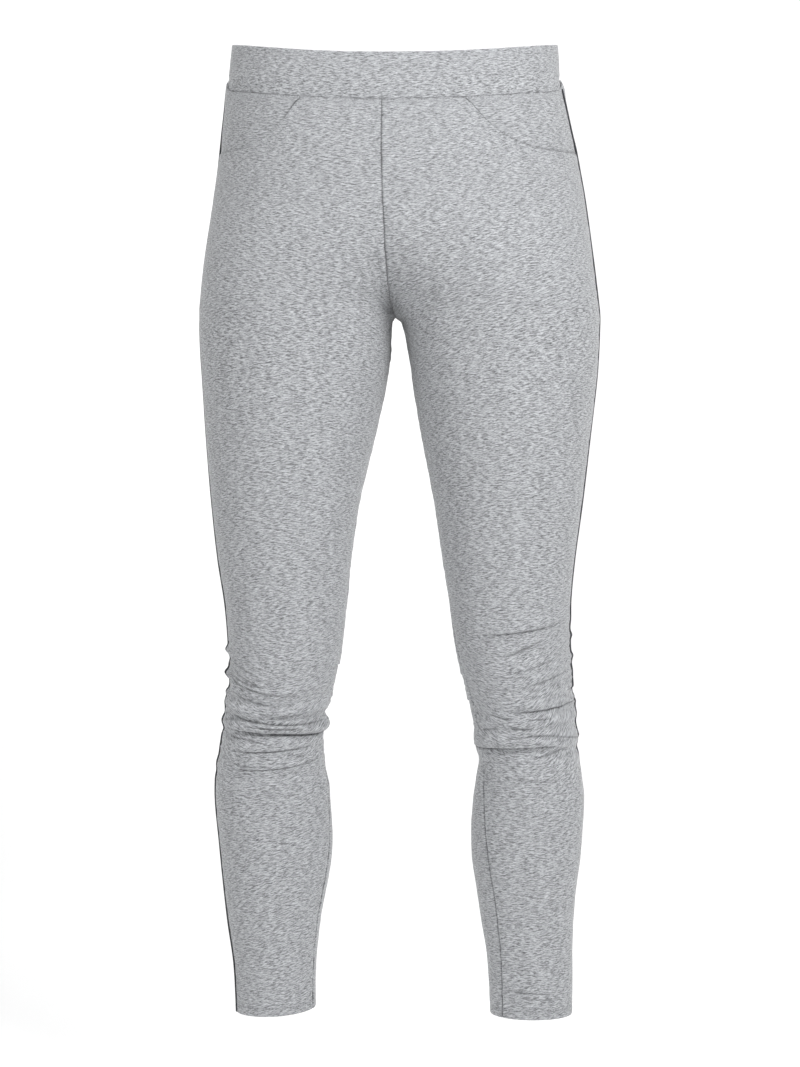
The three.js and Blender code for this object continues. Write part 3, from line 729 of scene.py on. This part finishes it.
def panel_shade(part, side, level, start, end, top, along, seed):
    """The painted shade round a panel, which darkens its colour: the grooves of the centre seam and the
    inseam, the side seam, the hem's stitching and the top edge, which is the waist seam or the pocket."""
    centre, outer = (start, end) if part == "front" else (end, start)
    # Painted shade: the right inseam is darkest down the calf, with a broad dark strip between the legs
    # at the top
    inseam_strength = 0.62 + 0.2 * smoothstep(-level, 690, 730) if side == RIGHT else 0.4
    fades = smoothstep(level, CROTCH + 5, CROTCH + 60) * (1 - smoothstep(level, -36, -28))
    centre_strength = 0.02 + 0.38 * fades
    strength = np.where(level > CROTCH, centre_strength, inseam_strength)
    shade = painted_shade(centre, level, strength, seed, 0.45)
    # Painted shade: a broad dark strip on the right leg's inner side, between the legs
    if side == RIGHT:
        shade = np.maximum(shade, 0.75 * bell(centre, 0, 18) * bell(level, -272, 28) * (level < CROTCH))
    shade = np.maximum(shade, painted_shade(outer, level, SIDE_SEAM_SHADE, seed + 1, 0.2))
    pocket = smoothstep(WAIST_SEAM - level, 0.5, 3)
    kept = POCKET_SHADE[side]
    fading = kept + (POCKET_TOP_SHADE - kept) * (1 - smoothstep(WAIST_SEAM - level, 14, 40))
    strength = 0.42 * (1 - pocket) + fading * pocket
    broken = 0.8 - 0.5 * pocket
    # Painted shade in the furrow of the hem's stitching
    shade = np.maximum(shade, 0.25 * bell(level - HEM, HEM_SHADE_AT, 1.0))
    return np.maximum(shade, painted_shade(top, along, strength, seed + 2, broken, 1.2))


def panel_relief(part, side, turn, z, level, start, end, top, along, seed):
    """Everything that lifts or sinks a panel's face. start, end and top are distances to its edges."""
    across = -np.cos(2 * np.pi * turn)
    out, crease_shade = creases(side, turn, z)
    out += small_rolls(side, turn, z)
    shallow = 1 - 0.65 * bell(z, CROTCH, 26)
    out += shallow * (seam_roll(start) + seam_roll(end)) + seam_roll(top, 0.35, 2.6)
    out += puckers(start, z, seed, depth=0.5, reach=9) + puckers(end, z, seed + 1, depth=0.5, slant=-0.7)
    out += puckers(top, along, seed + 2)
    out += 1.0 * bell(turn, GATHERED_TURN, GATHERED_WIDTH) * bell(level, WAIST_SEAM - 6, 6)
    # Broad unevenness of the whole leg
    out += 0.45 * lattice_noise(along / 38 + 50, z / 55 + 50, seed + 3) * smoothstep(-level, 40, 160)
    out += 0.16 * lattice_noise(along / 11 + 50, z / 9 + 150, seed + 4)
    # Drag lines of slack cloth above and between the folds of the knee
    fan = z - 26 * across**2 - 8 * across
    knee = bell(z, -612, 58) * (0.5 + 0.5 * smoothstep(across, -0.5, 0.4))
    out += 1.0 * knee * lattice_noise(along / 24 + 40, fan / 3.1 + 300, seed + 5)
    out += 0.26 * bell(z, -655, 34) * lattice_noise(along / 14 + 40, fan / 2.7 + 300, seed + 6)
    # Whiskers that spread from the crotch
    from_middle = start if part == "front" else end
    reach = np.hypot(from_middle, z - CROTCH)
    spread = np.arctan2(z - CROTCH, from_middle + 1)
    whiskers = lattice_noise(spread * 9 + 40, reach / 34 + 30, seed + 7)
    out += 0.6 * whiskers * bell(reach, 24, 34) * smoothstep(reach, 2, 14)
    # Short folds that the centre seam pulls up to both sides
    out += 0.35 * bell(from_middle, 14, 16) * tilted(from_middle, z, 38, 16, 3.6, seed + 8) * (z > CROTCH)
    # Furrows under the rows of stitching
    for below in STITCH_BELOW_SEAM:
        out -= 0.28 * bell(top, below, 0.9)
    for above in STITCH_ABOVE_HEM:
        out -= 0.3 * bell(level - HEM, above, 0.8)
    return out, crease_shade


def leg_panel(name, part, side, turn, level, seed):
    """A panel from its grid of turns and levels, with its hem turned up inside."""
    z, face, normal = cloth_at(side, turn, level)
    row = walked(face)
    rest = row[:, -1:] - row
    top = walked(face, axis=0)
    middle = row[:, turn.shape[1] // 2][:, None]
    along = row - middle
    out, crease_shade = panel_relief(part, side, turn, z, level, row, rest, top, along, seed)
    out_from_middle = 2 * np.minimum(turn, 1 - turn)
    across = -np.cos(2 * np.pi * turn)
    smile = -24 * across**2 * bell(z, -620, 62)
    if side == LEFT:
        smile = smile - (14 * across**2 + 14 * across) * bell(z, -615, 60) * (turn < 0.5)
    drag = -30 * smoothstep(out_from_middle, 0, 1) * bell(level, -200, 95)
    skew = -SPIRAL * face[..., 0]
    if side == RIGHT:
        skew = skew - 0.2 * (face[..., 0] + 120) * bell(level, -810, 110)
    apart = np.array([PIECES_APART * (seed % 7), 0])
    uv = (np.stack([along, level + smile + drag + skew], axis=-1) + apart) * MM
    turned = smoothstep(HEM + STITCH_ABOVE_HEM[1] + 1.5 - level, -0.6, 0.6)
    thick = CLOTH + (TURNED_HEM - CLOTH) * turned
    thick = np.where(level < HEM + 0.5, TURNED_HEM - 0.5, thick)
    out -= 0.4 * np.clip(1 - (level - HEM) / 1.4, 0, None) ** 2
    shade = np.maximum(panel_shade(part, side, level, row, rest, top, along, seed), crease_shade)
    # Beside the centre seam the cloth sinks straight in, so that its two sides stay together
    from_centre = row if part == "front" else rest
    together = (1 - smoothstep(from_centre, 0, 7)) * smoothstep(level, CROTCH - 10, CROTCH)
    normal = unit(normal * np.stack([1 - together, np.ones_like(z), np.ones_like(z)], axis=-1))
    return shell(name, face, normal, out, thick, uv, shade)


# %% Panels
SIDES = {"left": LEFT, "right": RIGHT}
legs = {}
faces_of = {}
for number, (word, side) in enumerate(SIDES.items()):
    turns, levels = front_grid(side)
    name = f"front_panel_{word}"
    legs[name], faces_of[name] = leg_panel(name, "front", side, turns, levels, 101 + 40 * number)
    turns, levels = back_grid(side)
    name = f"back_panel_{word}"
    legs[name], faces_of[name] = leg_panel(name, "back", side, turns, levels, 111 + 40 * number)

# %% [markdown]
# ## Pocket facings
#
# Inside each scoop one sees a second piece of cloth, the facing. It starts in the waist and side seams,
# a little below the front panel, and slips under its edge.

# %% Facings
FACING_INSET = 1.1
FACING_TUCK = 5.0     # how far it reaches under the front panel
FACING_ROWS, FACING_COLUMNS = 40, 84


def facing(name, side, seed):
    """A facing: each column runs from the waist seam down past the pocket's edge, and keeps its share
    of the way to the side seam. It sinks towards the pocket's edge."""
    share = scoop_steps(np.linspace(0.02, 1, FACING_COLUMNS + 1))
    share = share / share[-1]
    bottom = scoop_level(share) - FACING_TUCK * np.clip(share / 0.05, 0.2, 1)
    down = np.linspace(0, 1, FACING_ROWS + 1)[:, None]
    level = WAIST_SEAM + (bottom - WAIST_SEAM) * down
    seam = column(LEGS[side], "side", level) - 0.0006
    turn = scoop_start(side) + (seam - scoop_start(side)) * share
    z, face, normal = cloth_at(side, turn, level)
    row = walked(face)
    to_edge = level - scoop_level(share)
    sunk = 0.35 + (FACING_INSET - 0.35) * (1 - smoothstep(to_edge, 2, 16))
    top = walked(face, axis=0)
    out = -sunk + seam_roll(row[:, -1:] - row) * 0.7 + seam_roll(top, 0.8, 2.4)
    out += 0.25 * lattice_noise(row / 14 + 20, z / 12 + 80, seed) * smoothstep(to_edge, 0, 10)
    out += puckers(top, row, seed + 1, depth=0.25)
    apart = np.array([PIECES_APART * (seed % 7 + 0.5), 0])
    uv = (np.stack([row, level - SPIRAL * face[..., 0]], axis=-1) + apart) * MM
    thick = np.full(level.shape, CLOTH)
    # Painted shade, which darkens the colour along the pocket's edge, the side seam and the waist seam
    kept = POCKET_SHADE[side]
    dark = kept + (POCKET_TOP_SHADE - kept) * (1 - smoothstep(WAIST_SEAM - level, 14, 45))
    shade = painted_shade(np.abs(to_edge), row, dark, seed + 2, 0.3, 1.8)
    shade = np.maximum(shade, painted_shade(row[:, -1:] - row, level, SIDE_SEAM_SHADE, seed + 3, 0.2))
    broken = 0.85 if side == LEFT else 0.25
    shade = np.maximum(shade, painted_shade(top, row, 0.6, seed + 4, broken, 1.0))
    return shell(name, face, normal, out, thick, uv, shade)


for number, (word, side) in enumerate(SIDES.items()):
    name = f"pocket_facing_cloth_{word}"
    legs[name], faces_of[name] = facing(name, side, 301 + 40 * number)

# %% [markdown]
# ## The waistband
#
# The waistband is a ring of the same cloth, folded over wide elastic. It is soft and a little fuller in
# the middle, round at the top fold, and drawn in at the seam below. The elastic makes shallow upright
# ripples.

# %% Waistband
BAND_HEIGHT = BAND_TOP - WAIST_SEAM
BAND_INSET, BAND_THICK = 1.0, 3.0
BAND_ROWS, BAND_COLUMNS = 56, 600


def waistband_ring(name):
    """Rows from the top fold down to the seam, carried once round both halves of the body."""
    way = np.linspace(-1, 1, BAND_COLUMNS, endpoint=False)
    level = BAND_TOP + (WAIST_SEAM - BAND_TOP) * closer_at_ends(BAND_ROWS, 0.85)[:, None]
    level, way = np.broadcast_arrays(level, way)
    turn = np.abs(way)
    right, left = (cloth_at(side, turn, level) for side in (RIGHT, LEFT))
    on_right = way < 0
    z = np.where(on_right, right[0], left[0])
    face, normal = (np.where(on_right[..., None], right[k], left[k]) for k in (1, 2))
    row = walked(face)
    below_top = BAND_TOP - level
    above_seam = level - WAIST_SEAM
    fold = BAND_THICK / 2
    rounded = fold - np.sqrt(np.clip(fold**2 - np.clip(fold - below_top, 0, fold) ** 2, 0.05, None))
    sides = bell(turn, GATHERED_TURN, GATHERED_WIDTH)
    out = -BAND_INSET - rounded + seam_roll(above_seam, 0.3, 3.2)
    out -= 1.3 * sides * np.exp(-above_seam / 3.5)
    out += 0.5 * np.sin(np.pi * below_top / BAND_HEIGHT) ** 2
    out += 0.13 * lattice_noise(row / 7 + 20, z / 30 + 20, 501) * np.sin(np.pi * below_top / BAND_HEIGHT)
    out += 0.3 * lattice_noise(row / 45 + 20, z / 60 + 20, 502)
    out += puckers(above_seam, row, 503, depth=0.35, pitch=3.6, reach=5)
    # The ends of the seam gather in short curved wrinkles at the two sides
    out += 0.7 * sides * tilted(row, z, 12, 20, 3.4, 504) * smoothstep(20 - above_seam, 0, 18)
    thick = np.full(level.shape, BAND_THICK) - 2 * rounded
    uv = np.stack([row, level], axis=-1) * MM
    # Painted shade in the waist seam's groove, broken up along it
    shade = painted_shade(above_seam, row, 0.5, 505, 0.85, 0.8)
    return shell(name, face, normal, out, thick, uv, shade, ring=True)


legs["waistband_cloth"], faces_of["waistband_cloth"] = waistband_ring("waistband_cloth")
girth = walked(faces_of["waistband_cloth"])[30, -1]
print("The waistband is", round(float(girth)), "mm round")

# %% [markdown]
# ## Stitches
#
# Twin-needle rows hold the hems and the waist seam, and one row runs along each pocket. Each stitch is a
# short spindle of thread, half sunk in its furrow. It is one small grid, repeated along a line of the
# cloth that it was sewn through, so it always sits on the cloth's own points.

# %% Rows of stitches
THREAD = 0.22                    # radius, in millimetres
STITCH_ROUND, STITCH_LONG = 6, 5
STITCH_TAPER, STITCH_SINK = 0.92, 0.16
HALF_STEP = 0.4                  # a line's direction is taken this far to either side of a stitch
# A dark cord along each side seam paints the shadow in its groove: its radius, lift and points
SHADOW_CORD_RADIUS, SHADOW_CORD_LIFT = 0.75, 0.4
SHADOW_CORD_POINTS = 900


def stitch_row(points, normals, pitch=2.9, length=2.3, lift=0.02):
    """Spindles along a line: at even distances, a circle round the line's direction, thin at both
    ends."""
    distance = np.concatenate([[0], np.cumsum(np.linalg.norm(np.diff(points, axis=0), axis=1))])
    centres_at = np.arange(pitch / 2, distance[-1] - pitch / 2, pitch)

    def at(where, values):
        return np.stack([np.interp(where, distance, values[:, k]) for k in range(3)], axis=-1)

    centre = at(centres_at, points)
    ahead = unit(at(centres_at + HALF_STEP, points) - at(centres_at - HALF_STEP, points))
    up = at(centres_at, normals)
    aside = unit(np.cross(ahead, up))
    t = np.linspace(-1, 1, STITCH_LONG)[:, None]
    around = np.linspace(0, 2 * np.pi, STITCH_ROUND, endpoint=False)
    radius = THREAD * np.sqrt(np.clip(1 - STITCH_TAPER * t**2, 0, 1))
    axis = (t * length / 2)[None, :, :, None] * ahead[:, None, None, :]
    ring = (radius * np.cos(around))[None, :, :, None] * aside[:, None, None, :]
    ring = ring + (radius * np.sin(around))[None, :, :, None] * up[:, None, None, :]
    sink = (lift - STITCH_SINK * t**2)[None, :, :, None] * up[:, None, None, :]
    return (centre[:, None, None, :] + axis + ring + sink).reshape(-1, 3)


def stitches(name, rows):
    """Joins rows of spindles into one mesh, with a cap at both ends of each."""
    points = np.concatenate(rows)
    block = STITCH_ROUND * STITCH_LONG
    starts = np.arange(len(points) // block) * block
    ids = np.arange(block).reshape(STITCH_LONG, STITCH_ROUND)
    sides_of = (starts[:, None, None] + cells(ids, True)).reshape(-1, 4)
    caps = np.concatenate([starts[:, None] + ids[0], starts[:, None] + ids[-1][::-1]])
    return mesh_object(name, points, [sides_of, caps])


def normals_of(grid):
    """Normals of a grid of points, from the differences between its neighbours."""
    normal = unit(np.cross(np.gradient(grid, axis=1), np.gradient(grid, axis=0)))
    centre = grid.mean(axis=1, keepdims=True)
    inward = np.einsum("ijk,ijk->", normal, grid - centre) < 0
    return -normal if inward else normal


def row_near(values, wanted):
    return int(np.argmin(np.abs(values - wanted)))


def tube(points, radius, sides=6):
    """A round tube along a line of points: a circle in the plane across the line at each of them."""
    ahead = unit(np.gradient(points, axis=0))
    first = unit(np.cross(ahead, [0.0, 1.0, 0.0]))
    second = np.cross(ahead, first)
    angle = np.linspace(0, 2 * np.pi, sides, endpoint=False)[:, None]
    circle = np.cos(angle) * first[:, None, :] + np.sin(angle) * second[:, None, :]
    return (points[:, None, :] + radius * circle).reshape(-1, 3)


def side_seam_shadow_cord(name, side):
    """A dark cord in the side seam, the painted shadow of its groove: a line from the waist to the hem,
    on the folds."""
    level = np.linspace(WAIST_SEAM - 1, HEM + 1, SHADOW_CORD_POINTS)
    turn = column(LEGS[side], "side", level)
    z, face, normal = cloth_at(side, turn, level)
    lift = creases(side, turn, z)[0] + small_rolls(side, turn, z) + SHADOW_CORD_LIFT
    line = face + normal * lift[:, None]
    points = tube(line, SHADOW_CORD_RADIUS)
    ids = np.arange(len(points)).reshape(len(line), -1)
    return mesh_object(name, points, [cells(ids, True), ids[:1], ids[-1:, ::-1]])


# %% Stitch the garment
seams = {}
waist_rows = []
for word, side in SIDES.items():
    hem_rows = []
    for part in ("front", "back"):
        grid = faces_of[f"{part}_panel_{word}"]
        normal = normals_of(grid)
        columns = slice(0, CENTRE_COLUMNS + 1) if part == "front" else slice(None)
        down = walked(grid, axis=0)[:, 1]
        for below in STITCH_BELOW_SEAM:
            row = row_near(down, below)
            waist_rows.append(stitch_row(grid[row, columns], normal[row, columns]))
        for above in STITCH_ABOVE_HEM:
            row = row_near(grid[:, grid.shape[1] // 2, 2], grid[-1, grid.shape[1] // 2, 2] + above)
            hem_rows.append(stitch_row(grid[row], normal[row], pitch=3.0, length=2.4))
        if part == "front":
            row = row_near(walked(grid, axis=0)[:, -20], STITCH_BESIDE_POCKET)
            line = slice(CENTRE_COLUMNS, None)
            seams[f"pocket_stitches_{word}"] = [stitch_row(grid[row, line], normal[row, line])]
    grid = faces_of[f"pocket_facing_cloth_{word}"]
    normal = normals_of(grid)
    down = walked(grid, axis=0)[:, -20]
    for below in STITCH_BELOW_SEAM:
        row = row_near(down, below)
        waist_rows.append(stitch_row(grid[row], normal[row]))
    seams[f"hem_stitches_{word}"] = hem_rows
seams["waist_stitches"] = waist_rows
threads = {name: stitches(name, rows) for name, rows in seams.items()}
# Dark cords that paint the shadow in the side seams' grooves
side_seam_shadow_cords = {}
for word, side in SIDES.items():
    name = f"side_seam_{word}"
    side_seam_shadow_cords[name] = side_seam_shadow_cord(name, side)

# %% [markdown]
# ## Grey mélange
#
# Mélange yarn is spun from dark and pale fibres, so the knitted cloth shows short flecks along its rows.
# An image could hold them, but noise in the cloth's own coordinates never repeats and never blurs. The
# effect is a node group, because the legs, waistband and thread use it with their own values: it takes
# the cloth's coordinates, and gives a colour, a height for the bump and a roughness.

# %% Mélange node group
FLECK_BEND = (0.0025, 0.0026, 0)   # metres that the slow noise moves a fleck
FLECK_GAIN = 3.65                  # spreads the noise from dark to pale
KNIT_RIBS = (7400, 8700, 0)        # radians per metre along the rows and up the wales


def group_socket(group, name, kind, way="INPUT", value=None):
    socket = group.interface.new_socket(name=name, in_out=way, socket_type=kind)
    if value is not None:
        socket.default_value = value
    return socket


def node(tree, kind, inputs=None, **settings):
    """A node with its settings, and its inputs set to values or joined to other nodes' outputs."""
    made = tree.nodes.new(kind)
    for key, value in settings.items():
        setattr(made, key, value)
    for key, value in (inputs or {}).items():
        if isinstance(value, bpy.types.NodeSocket):
            tree.links.new(value, made.inputs[key])
        else:
            made.inputs[key].default_value = value
    return made


def vector_math(tree, operation, first, second):
    return node(tree, "ShaderNodeVectorMath", {0: first, 1: second}, operation=operation).outputs[0]


def math_node(tree, operation, first, second):
    return node(tree, "ShaderNodeMath", {0: first, 1: second}, operation=operation).outputs[0]


def scaled(tree, vector, factor):
    inputs = {0: vector, "Scale": factor}
    return node(tree, "ShaderNodeVectorMath", inputs, operation="SCALE").outputs[0]


def noise(tree, vector, detail, roughness):
    """A noise texture whose grains are one unit of its vector long."""
    inputs = {"Vector": vector, "Scale": 1.0, "Detail": detail, "Roughness": roughness}
    return node(tree, "ShaderNodeTexNoise", inputs, noise_dimensions="2D").outputs[0]


def turned_by(tree, vector, degrees):
    """A vector turned about its third axis."""
    inputs = {"Vector": vector, "Angle": math.radians(degrees)}
    return node(tree, "ShaderNodeVectorRotate", inputs, rotation_type="Z_AXIS").outputs[0]


def melange_group():
    """Fleck noise, drawn out along the rows and bent by a slower noise, picks the colour between
    dark, middle and pale, and the painted shade darkens it. The same flecks with the ribs of the knit
    make the height."""
    group = bpy.data.node_groups.new("melange_jersey", "ShaderNodeTree")
    group_socket(group, "Cloth", "NodeSocketVector")
    group_socket(group, "Pale", "NodeSocketColor", value=(0.66, 0.67, 0.70, 1))
    group_socket(group, "Dark", "NodeSocketColor", value=(0.26, 0.27, 0.29, 1))
    group_socket(group, "Fleck length", "NodeSocketFloat", value=0.0052)
    group_socket(group, "Contrast", "NodeSocketFloat", value=1.0)
    # Painted shade, which darkens the colour
    group_socket(group, "Shade", "NodeSocketFloat", value=0.0)
    group_socket(group, "Color", "NodeSocketColor", "OUTPUT")
    group_socket(group, "Height", "NodeSocketFloat", "OUTPUT")
    group_socket(group, "Roughness", "NodeSocketFloat", "OUTPUT")
    start = group.nodes.new("NodeGroupInput")
    end = group.nodes.new("NodeGroupOutput")
    cloth = start.outputs["Cloth"]
    per_fleck = math_node(group, "DIVIDE", 1.0, start.outputs["Fleck length"])
    slow = node(
        group, "ShaderNodeTexNoise",
        {"Vector": vector_math(group, "MULTIPLY", cloth, (70, 70, 0)), "Scale": 1.0, "Detail": 1.0},
        noise_dimensions="2D",
    )
    bend = vector_math(group, "SUBTRACT", slow.outputs["Color"], (0.5,) * 3)
    bent = vector_math(group, "ADD", cloth, vector_math(group, "MULTIPLY", bend, FLECK_BEND))
    flecks = scaled(group, bent, per_fleck)
    drawn_long = turned_by(group, vector_math(group, "MULTIPLY", flecks, (0.72, 4.8, 0)), 34)
    long_flecks = noise(group, drawn_long, 2.0, 0.6)
    drawn_short = turned_by(group, vector_math(group, "MULTIPLY", flecks, (1.8, 9.0, 0)), -21)
    short_flecks = noise(group, drawn_short, 2.0, 0.6)
    clouds = noise(group, vector_math(group, "MULTIPLY", flecks, (0.22, 0.45, 0)), 1.0, 0.5)
    mixed = math_node(group, "MULTIPLY", long_flecks, 0.55)
    mixed = math_node(group, "ADD", mixed, math_node(group, "MULTIPLY", short_flecks, 0.40))
    mixed = math_node(group, "ADD", mixed, math_node(group, "MULTIPLY", clouds, 0.05))
    spread = math_node(group, "SUBTRACT", mixed, 0.5)
    spread = math_node(group, "MULTIPLY", spread, start.outputs["Contrast"])
    spread = math_node(group, "ADD", math_node(group, "MULTIPLY", spread, FLECK_GAIN), 0.5)
    picked = node(group, "ShaderNodeMix", {0: spread, 6: start.outputs["Dark"], 7: start.outputs["Pale"]},
                  data_type="RGBA")
    # The painted shade darkens the picked colour
    lit = math_node(group, "SUBTRACT", 1.0, start.outputs["Shade"])
    group.links.new(scaled(group, picked.outputs[2], lit), end.inputs["Color"])
    wales = node(group, "ShaderNodeSeparateXYZ", {0: vector_math(group, "MULTIPLY", cloth, KNIT_RIBS)})
    rib = math_node(group, "MULTIPLY",
                    math_node(group, "SINE", wales.outputs[0], 0.0),
                    math_node(group, "COSINE", wales.outputs[1], 0.0))
    height = math_node(group, "ADD", math_node(group, "MULTIPLY", rib, 0.12), mixed)
    group.links.new(height, end.inputs["Height"])
    rough = math_node(group, "ADD", math_node(group, "MULTIPLY", mixed, 0.2), 0.78)
    group.links.new(rough, end.inputs["Roughness"])
    return group


melange = melange_group()
print("Node group:", melange.name, [s.name for s in melange.interface.items_tree])

# %% Materials
BUMP_HEIGHT = 0.0006   # metres
SHINE, SHEEN, SHEEN_ROUGHNESS = 0.18, 0.30, 0.5
OF_THREAD = {"fleck": 0.002, "source": "object"}


def jersey(name, pale, dark, contrast, bump, fleck=0.0047, source="cloth"):
    """Mélange jersey: the group's colour and roughness, its height as a fine bump, and a faint fibre
    sheen."""
    material = bpy.data.materials.new(name)
    material.use_nodes = True
    tree = material.node_tree
    tree.nodes.clear()
    if source == "cloth":
        place_in_cloth = node(tree, "ShaderNodeUVMap", uv_map="cloth").outputs[0]
        # Painted shade kept on the cloth's points darkens the colour
        shade = node(tree, "ShaderNodeAttribute", attribute_name="painted_shade").outputs["Fac"]
    else:
        shade = 0.0
        place_in_cloth = node(tree, "ShaderNodeTexCoord").outputs["Object"]
    inputs = {"Cloth": place_in_cloth, "Pale": (*pale, 1), "Dark": (*dark, 1), "Contrast": contrast,
              "Fleck length": fleck, "Shade": shade}
    weave = node(tree, "ShaderNodeGroup", inputs, node_tree=melange)
    relief = {"Strength": bump, "Distance": BUMP_HEIGHT, "Height": weave.outputs["Height"]}
    finish = {
        "Base Color": weave.outputs["Color"],
        "Roughness": weave.outputs["Roughness"],
        "Normal": node(tree, "ShaderNodeBump", relief).outputs[0],
        "Specular IOR Level": SHINE,
        "Sheen Weight": SHEEN,
        "Sheen Roughness": SHEEN_ROUGHNESS,
    }
    skin = node(tree, "ShaderNodeBsdfPrincipled", finish)
    node(tree, "ShaderNodeOutputMaterial", {"Surface": skin.outputs[0]})
    return material


PALE, DARK = (0.548, 0.561, 0.582), (0.119, 0.122, 0.127)
leg_jersey = jersey("leg_jersey", PALE, DARK, 1.0, 0.55)
band_jersey = jersey("waistband_jersey", tuple(v * 0.95 for v in PALE), DARK, 0.95, 0.5, fleck=0.0046)
facing_jersey = jersey("facing_jersey", tuple(v * 0.98 for v in PALE), DARK, 1.0, 0.55)
thread = jersey("grey_thread", (0.52, 0.53, 0.55), (0.32, 0.33, 0.35), 1.0, 0.3, **OF_THREAD)
# Near-black material of the side-seam cords, which paint the seam's shadow
seam_shadow_black = jersey("seam_shadow_black", (0.10, 0.10, 0.11), (0.04, 0.04, 0.045), 1.0, 0.3, **OF_THREAD)
print("Materials:", [m.name for m in bpy.data.materials])

# %% [markdown]
# ## Joining the frame
#
# Each piece of cloth stands for one solid and rides on the one body that a garment has. The table gives
# the size that each is cut to. Jersey is cut smaller than the body and stretches into place, so each flat
# size is a little under the area that shows.

# %% Ride and replace
CUTS = {
    "columns": ("piece", "solid", "slot", "width", "length", "area"),
    "rows": [
        ("waistband_cloth", "waistband", "waistband_jersey", 0.80, 0.040, 0.032),
        ("front_panel_left", "front_leg_left", "leg_jersey", 0.215, 0.905, 0.150),
        ("front_panel_right", "front_leg_right", "leg_jersey", 0.215, 0.905, 0.150),
        ("back_panel_left", "back_leg_left", "leg_jersey", 0.275, 0.930, 0.178),
        ("back_panel_right", "back_leg_right", "leg_jersey", 0.275, 0.930, 0.178),
        ("pocket_facing_cloth_left", "pocket_facing_left", "facing_jersey", 0.110, 0.070, 0.0058),
        ("pocket_facing_cloth_right", "pocket_facing_right", "facing_jersey", 0.110, 0.070, 0.0058),
    ],
}
FINISH = {"waistband_jersey": band_jersey, "leg_jersey": leg_jersey, "facing_jersey": facing_jersey}
for piece_name, solid, slot, width, length, area in CUTS["rows"]:
    piece = legs[piece_name]
    piece.data.materials.append(FINISH[slot])
    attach(piece, "root")
    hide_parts(solid)
for group, finish in ((threads, thread), (side_seam_shadow_cords, seam_shadow_black)):
    for piece in group.values():
        piece.data.materials.append(finish)
        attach(piece, "root")
print("Pieces:", len(legs) + len(threads) + len(side_seam_shadow_cords))

# %% [markdown]
# ## Floor, backdrop and light
#
# A product photograph of pale cloth wants a white sweep of paper and broad soft lights. The sweep is one
# strip: flat floor, a quarter turn, and a wall. A large soft light stands high in front on the viewer's
# right, a weaker one on the left, and a white surround fills the shadows.

# %% Sweep
FLOOR = -1050.0
SWEEP_BACK, SWEEP_FRONT, SWEEP_RADIUS, SWEEP_TOP, SWEEP_HALF = 1500.0, -3500.0, 700.0, 2200.0, 4000.0
PAPER = {
    "Base Color": (0.90, 0.90, 0.90, 1),
    "Roughness": 0.95,
    "Emission Color": (1, 1, 1, 1),
    "Emission Strength": 0.20,
}


def sweep_profile():
    """Points from the front of the floor, round a quarter circle, to the top of the wall."""
    angle = np.linspace(0, np.pi / 2, 24)
    wall = SWEEP_BACK + SWEEP_RADIUS
    y = np.concatenate([[SWEEP_FRONT], SWEEP_BACK + SWEEP_RADIUS * np.sin(angle), [wall]])
    z = np.concatenate([[FLOOR], FLOOR + SWEEP_RADIUS * (1 - np.cos(angle)), [SWEEP_TOP]])
    return np.stack([y, z], axis=-1)


profile = sweep_profile()
strip = np.array([[(x, y, z) for y, z in profile] for x in (-SWEEP_HALF, SWEEP_HALF)])
strip_ids = np.arange(2 * len(profile)).reshape(2, len(profile))
sweep_mesh = bpy.data.meshes.new("sweep")
sweep_mesh.from_pydata((strip.reshape(-1, 3) * MM).tolist(), [], cells(strip_ids, False).tolist())
sweep_mesh.shade_smooth()
sweep = bpy.data.objects.new("sweep", sweep_mesh)
bpy.context.scene.collection.objects.link(sweep)
paper = bpy.data.materials.new("white_paper")
paper.use_nodes = True
paper_surface = paper.node_tree.nodes["Principled BSDF"]
for key, value in PAPER.items():
    paper_surface.inputs[key].default_value = value
# The paper lets a camera that stands behind it look through its back
away = node(paper.node_tree, "ShaderNodeNewGeometry").outputs["Backfacing"]
clear = node(paper.node_tree, "ShaderNodeBsdfTransparent").outputs[0]
either = node(paper.node_tree, "ShaderNodeMixShader", {0: away, 1: paper_surface.outputs[0], 2: clear})
paper.node_tree.links.new(either.outputs[0], paper.node_tree.nodes["Material Output"].inputs[0])
sweep_mesh.materials.append(paper)
print("Sweep:", len(sweep_mesh.polygons), "faces")

# %% Lights
ROOM_LIGHT = 0.31


def soft_light(name, place_in_room, aim, size, power):
    data = bpy.data.lights.new(name, "AREA")
    data.shape = "RECTANGLE"
    data.size, data.size_y = size
    data.energy = power
    made = bpy.data.objects.new(name, data)
    made.location = place_in_room
    made.rotation_euler = (Vector(aim) - Vector(place_in_room)).to_track_quat("-Z", "Y").to_euler()
    bpy.context.scene.collection.objects.link(made)
    return made


soft_light("key", (1.0, -1.4, 0.8), (0, 0, -0.2), (1.0, 1.0), 36)
soft_light("fill", (-1.5, -1.6, 0.9), (0, 0, -0.2), (1.4, 1.4), 21)
soft_light("top", (0, 0.2, 2.0), (0, 0, -0.45), (1.6, 1.6), 26)
world = bpy.data.worlds.new("studio")
world.use_nodes = True
surround = world.node_tree.nodes["Background"]
surround.inputs["Color"].default_value = (1, 1, 1, 1)
surround.inputs["Strength"].default_value = ROOM_LIGHT
bpy.context.scene.world = world
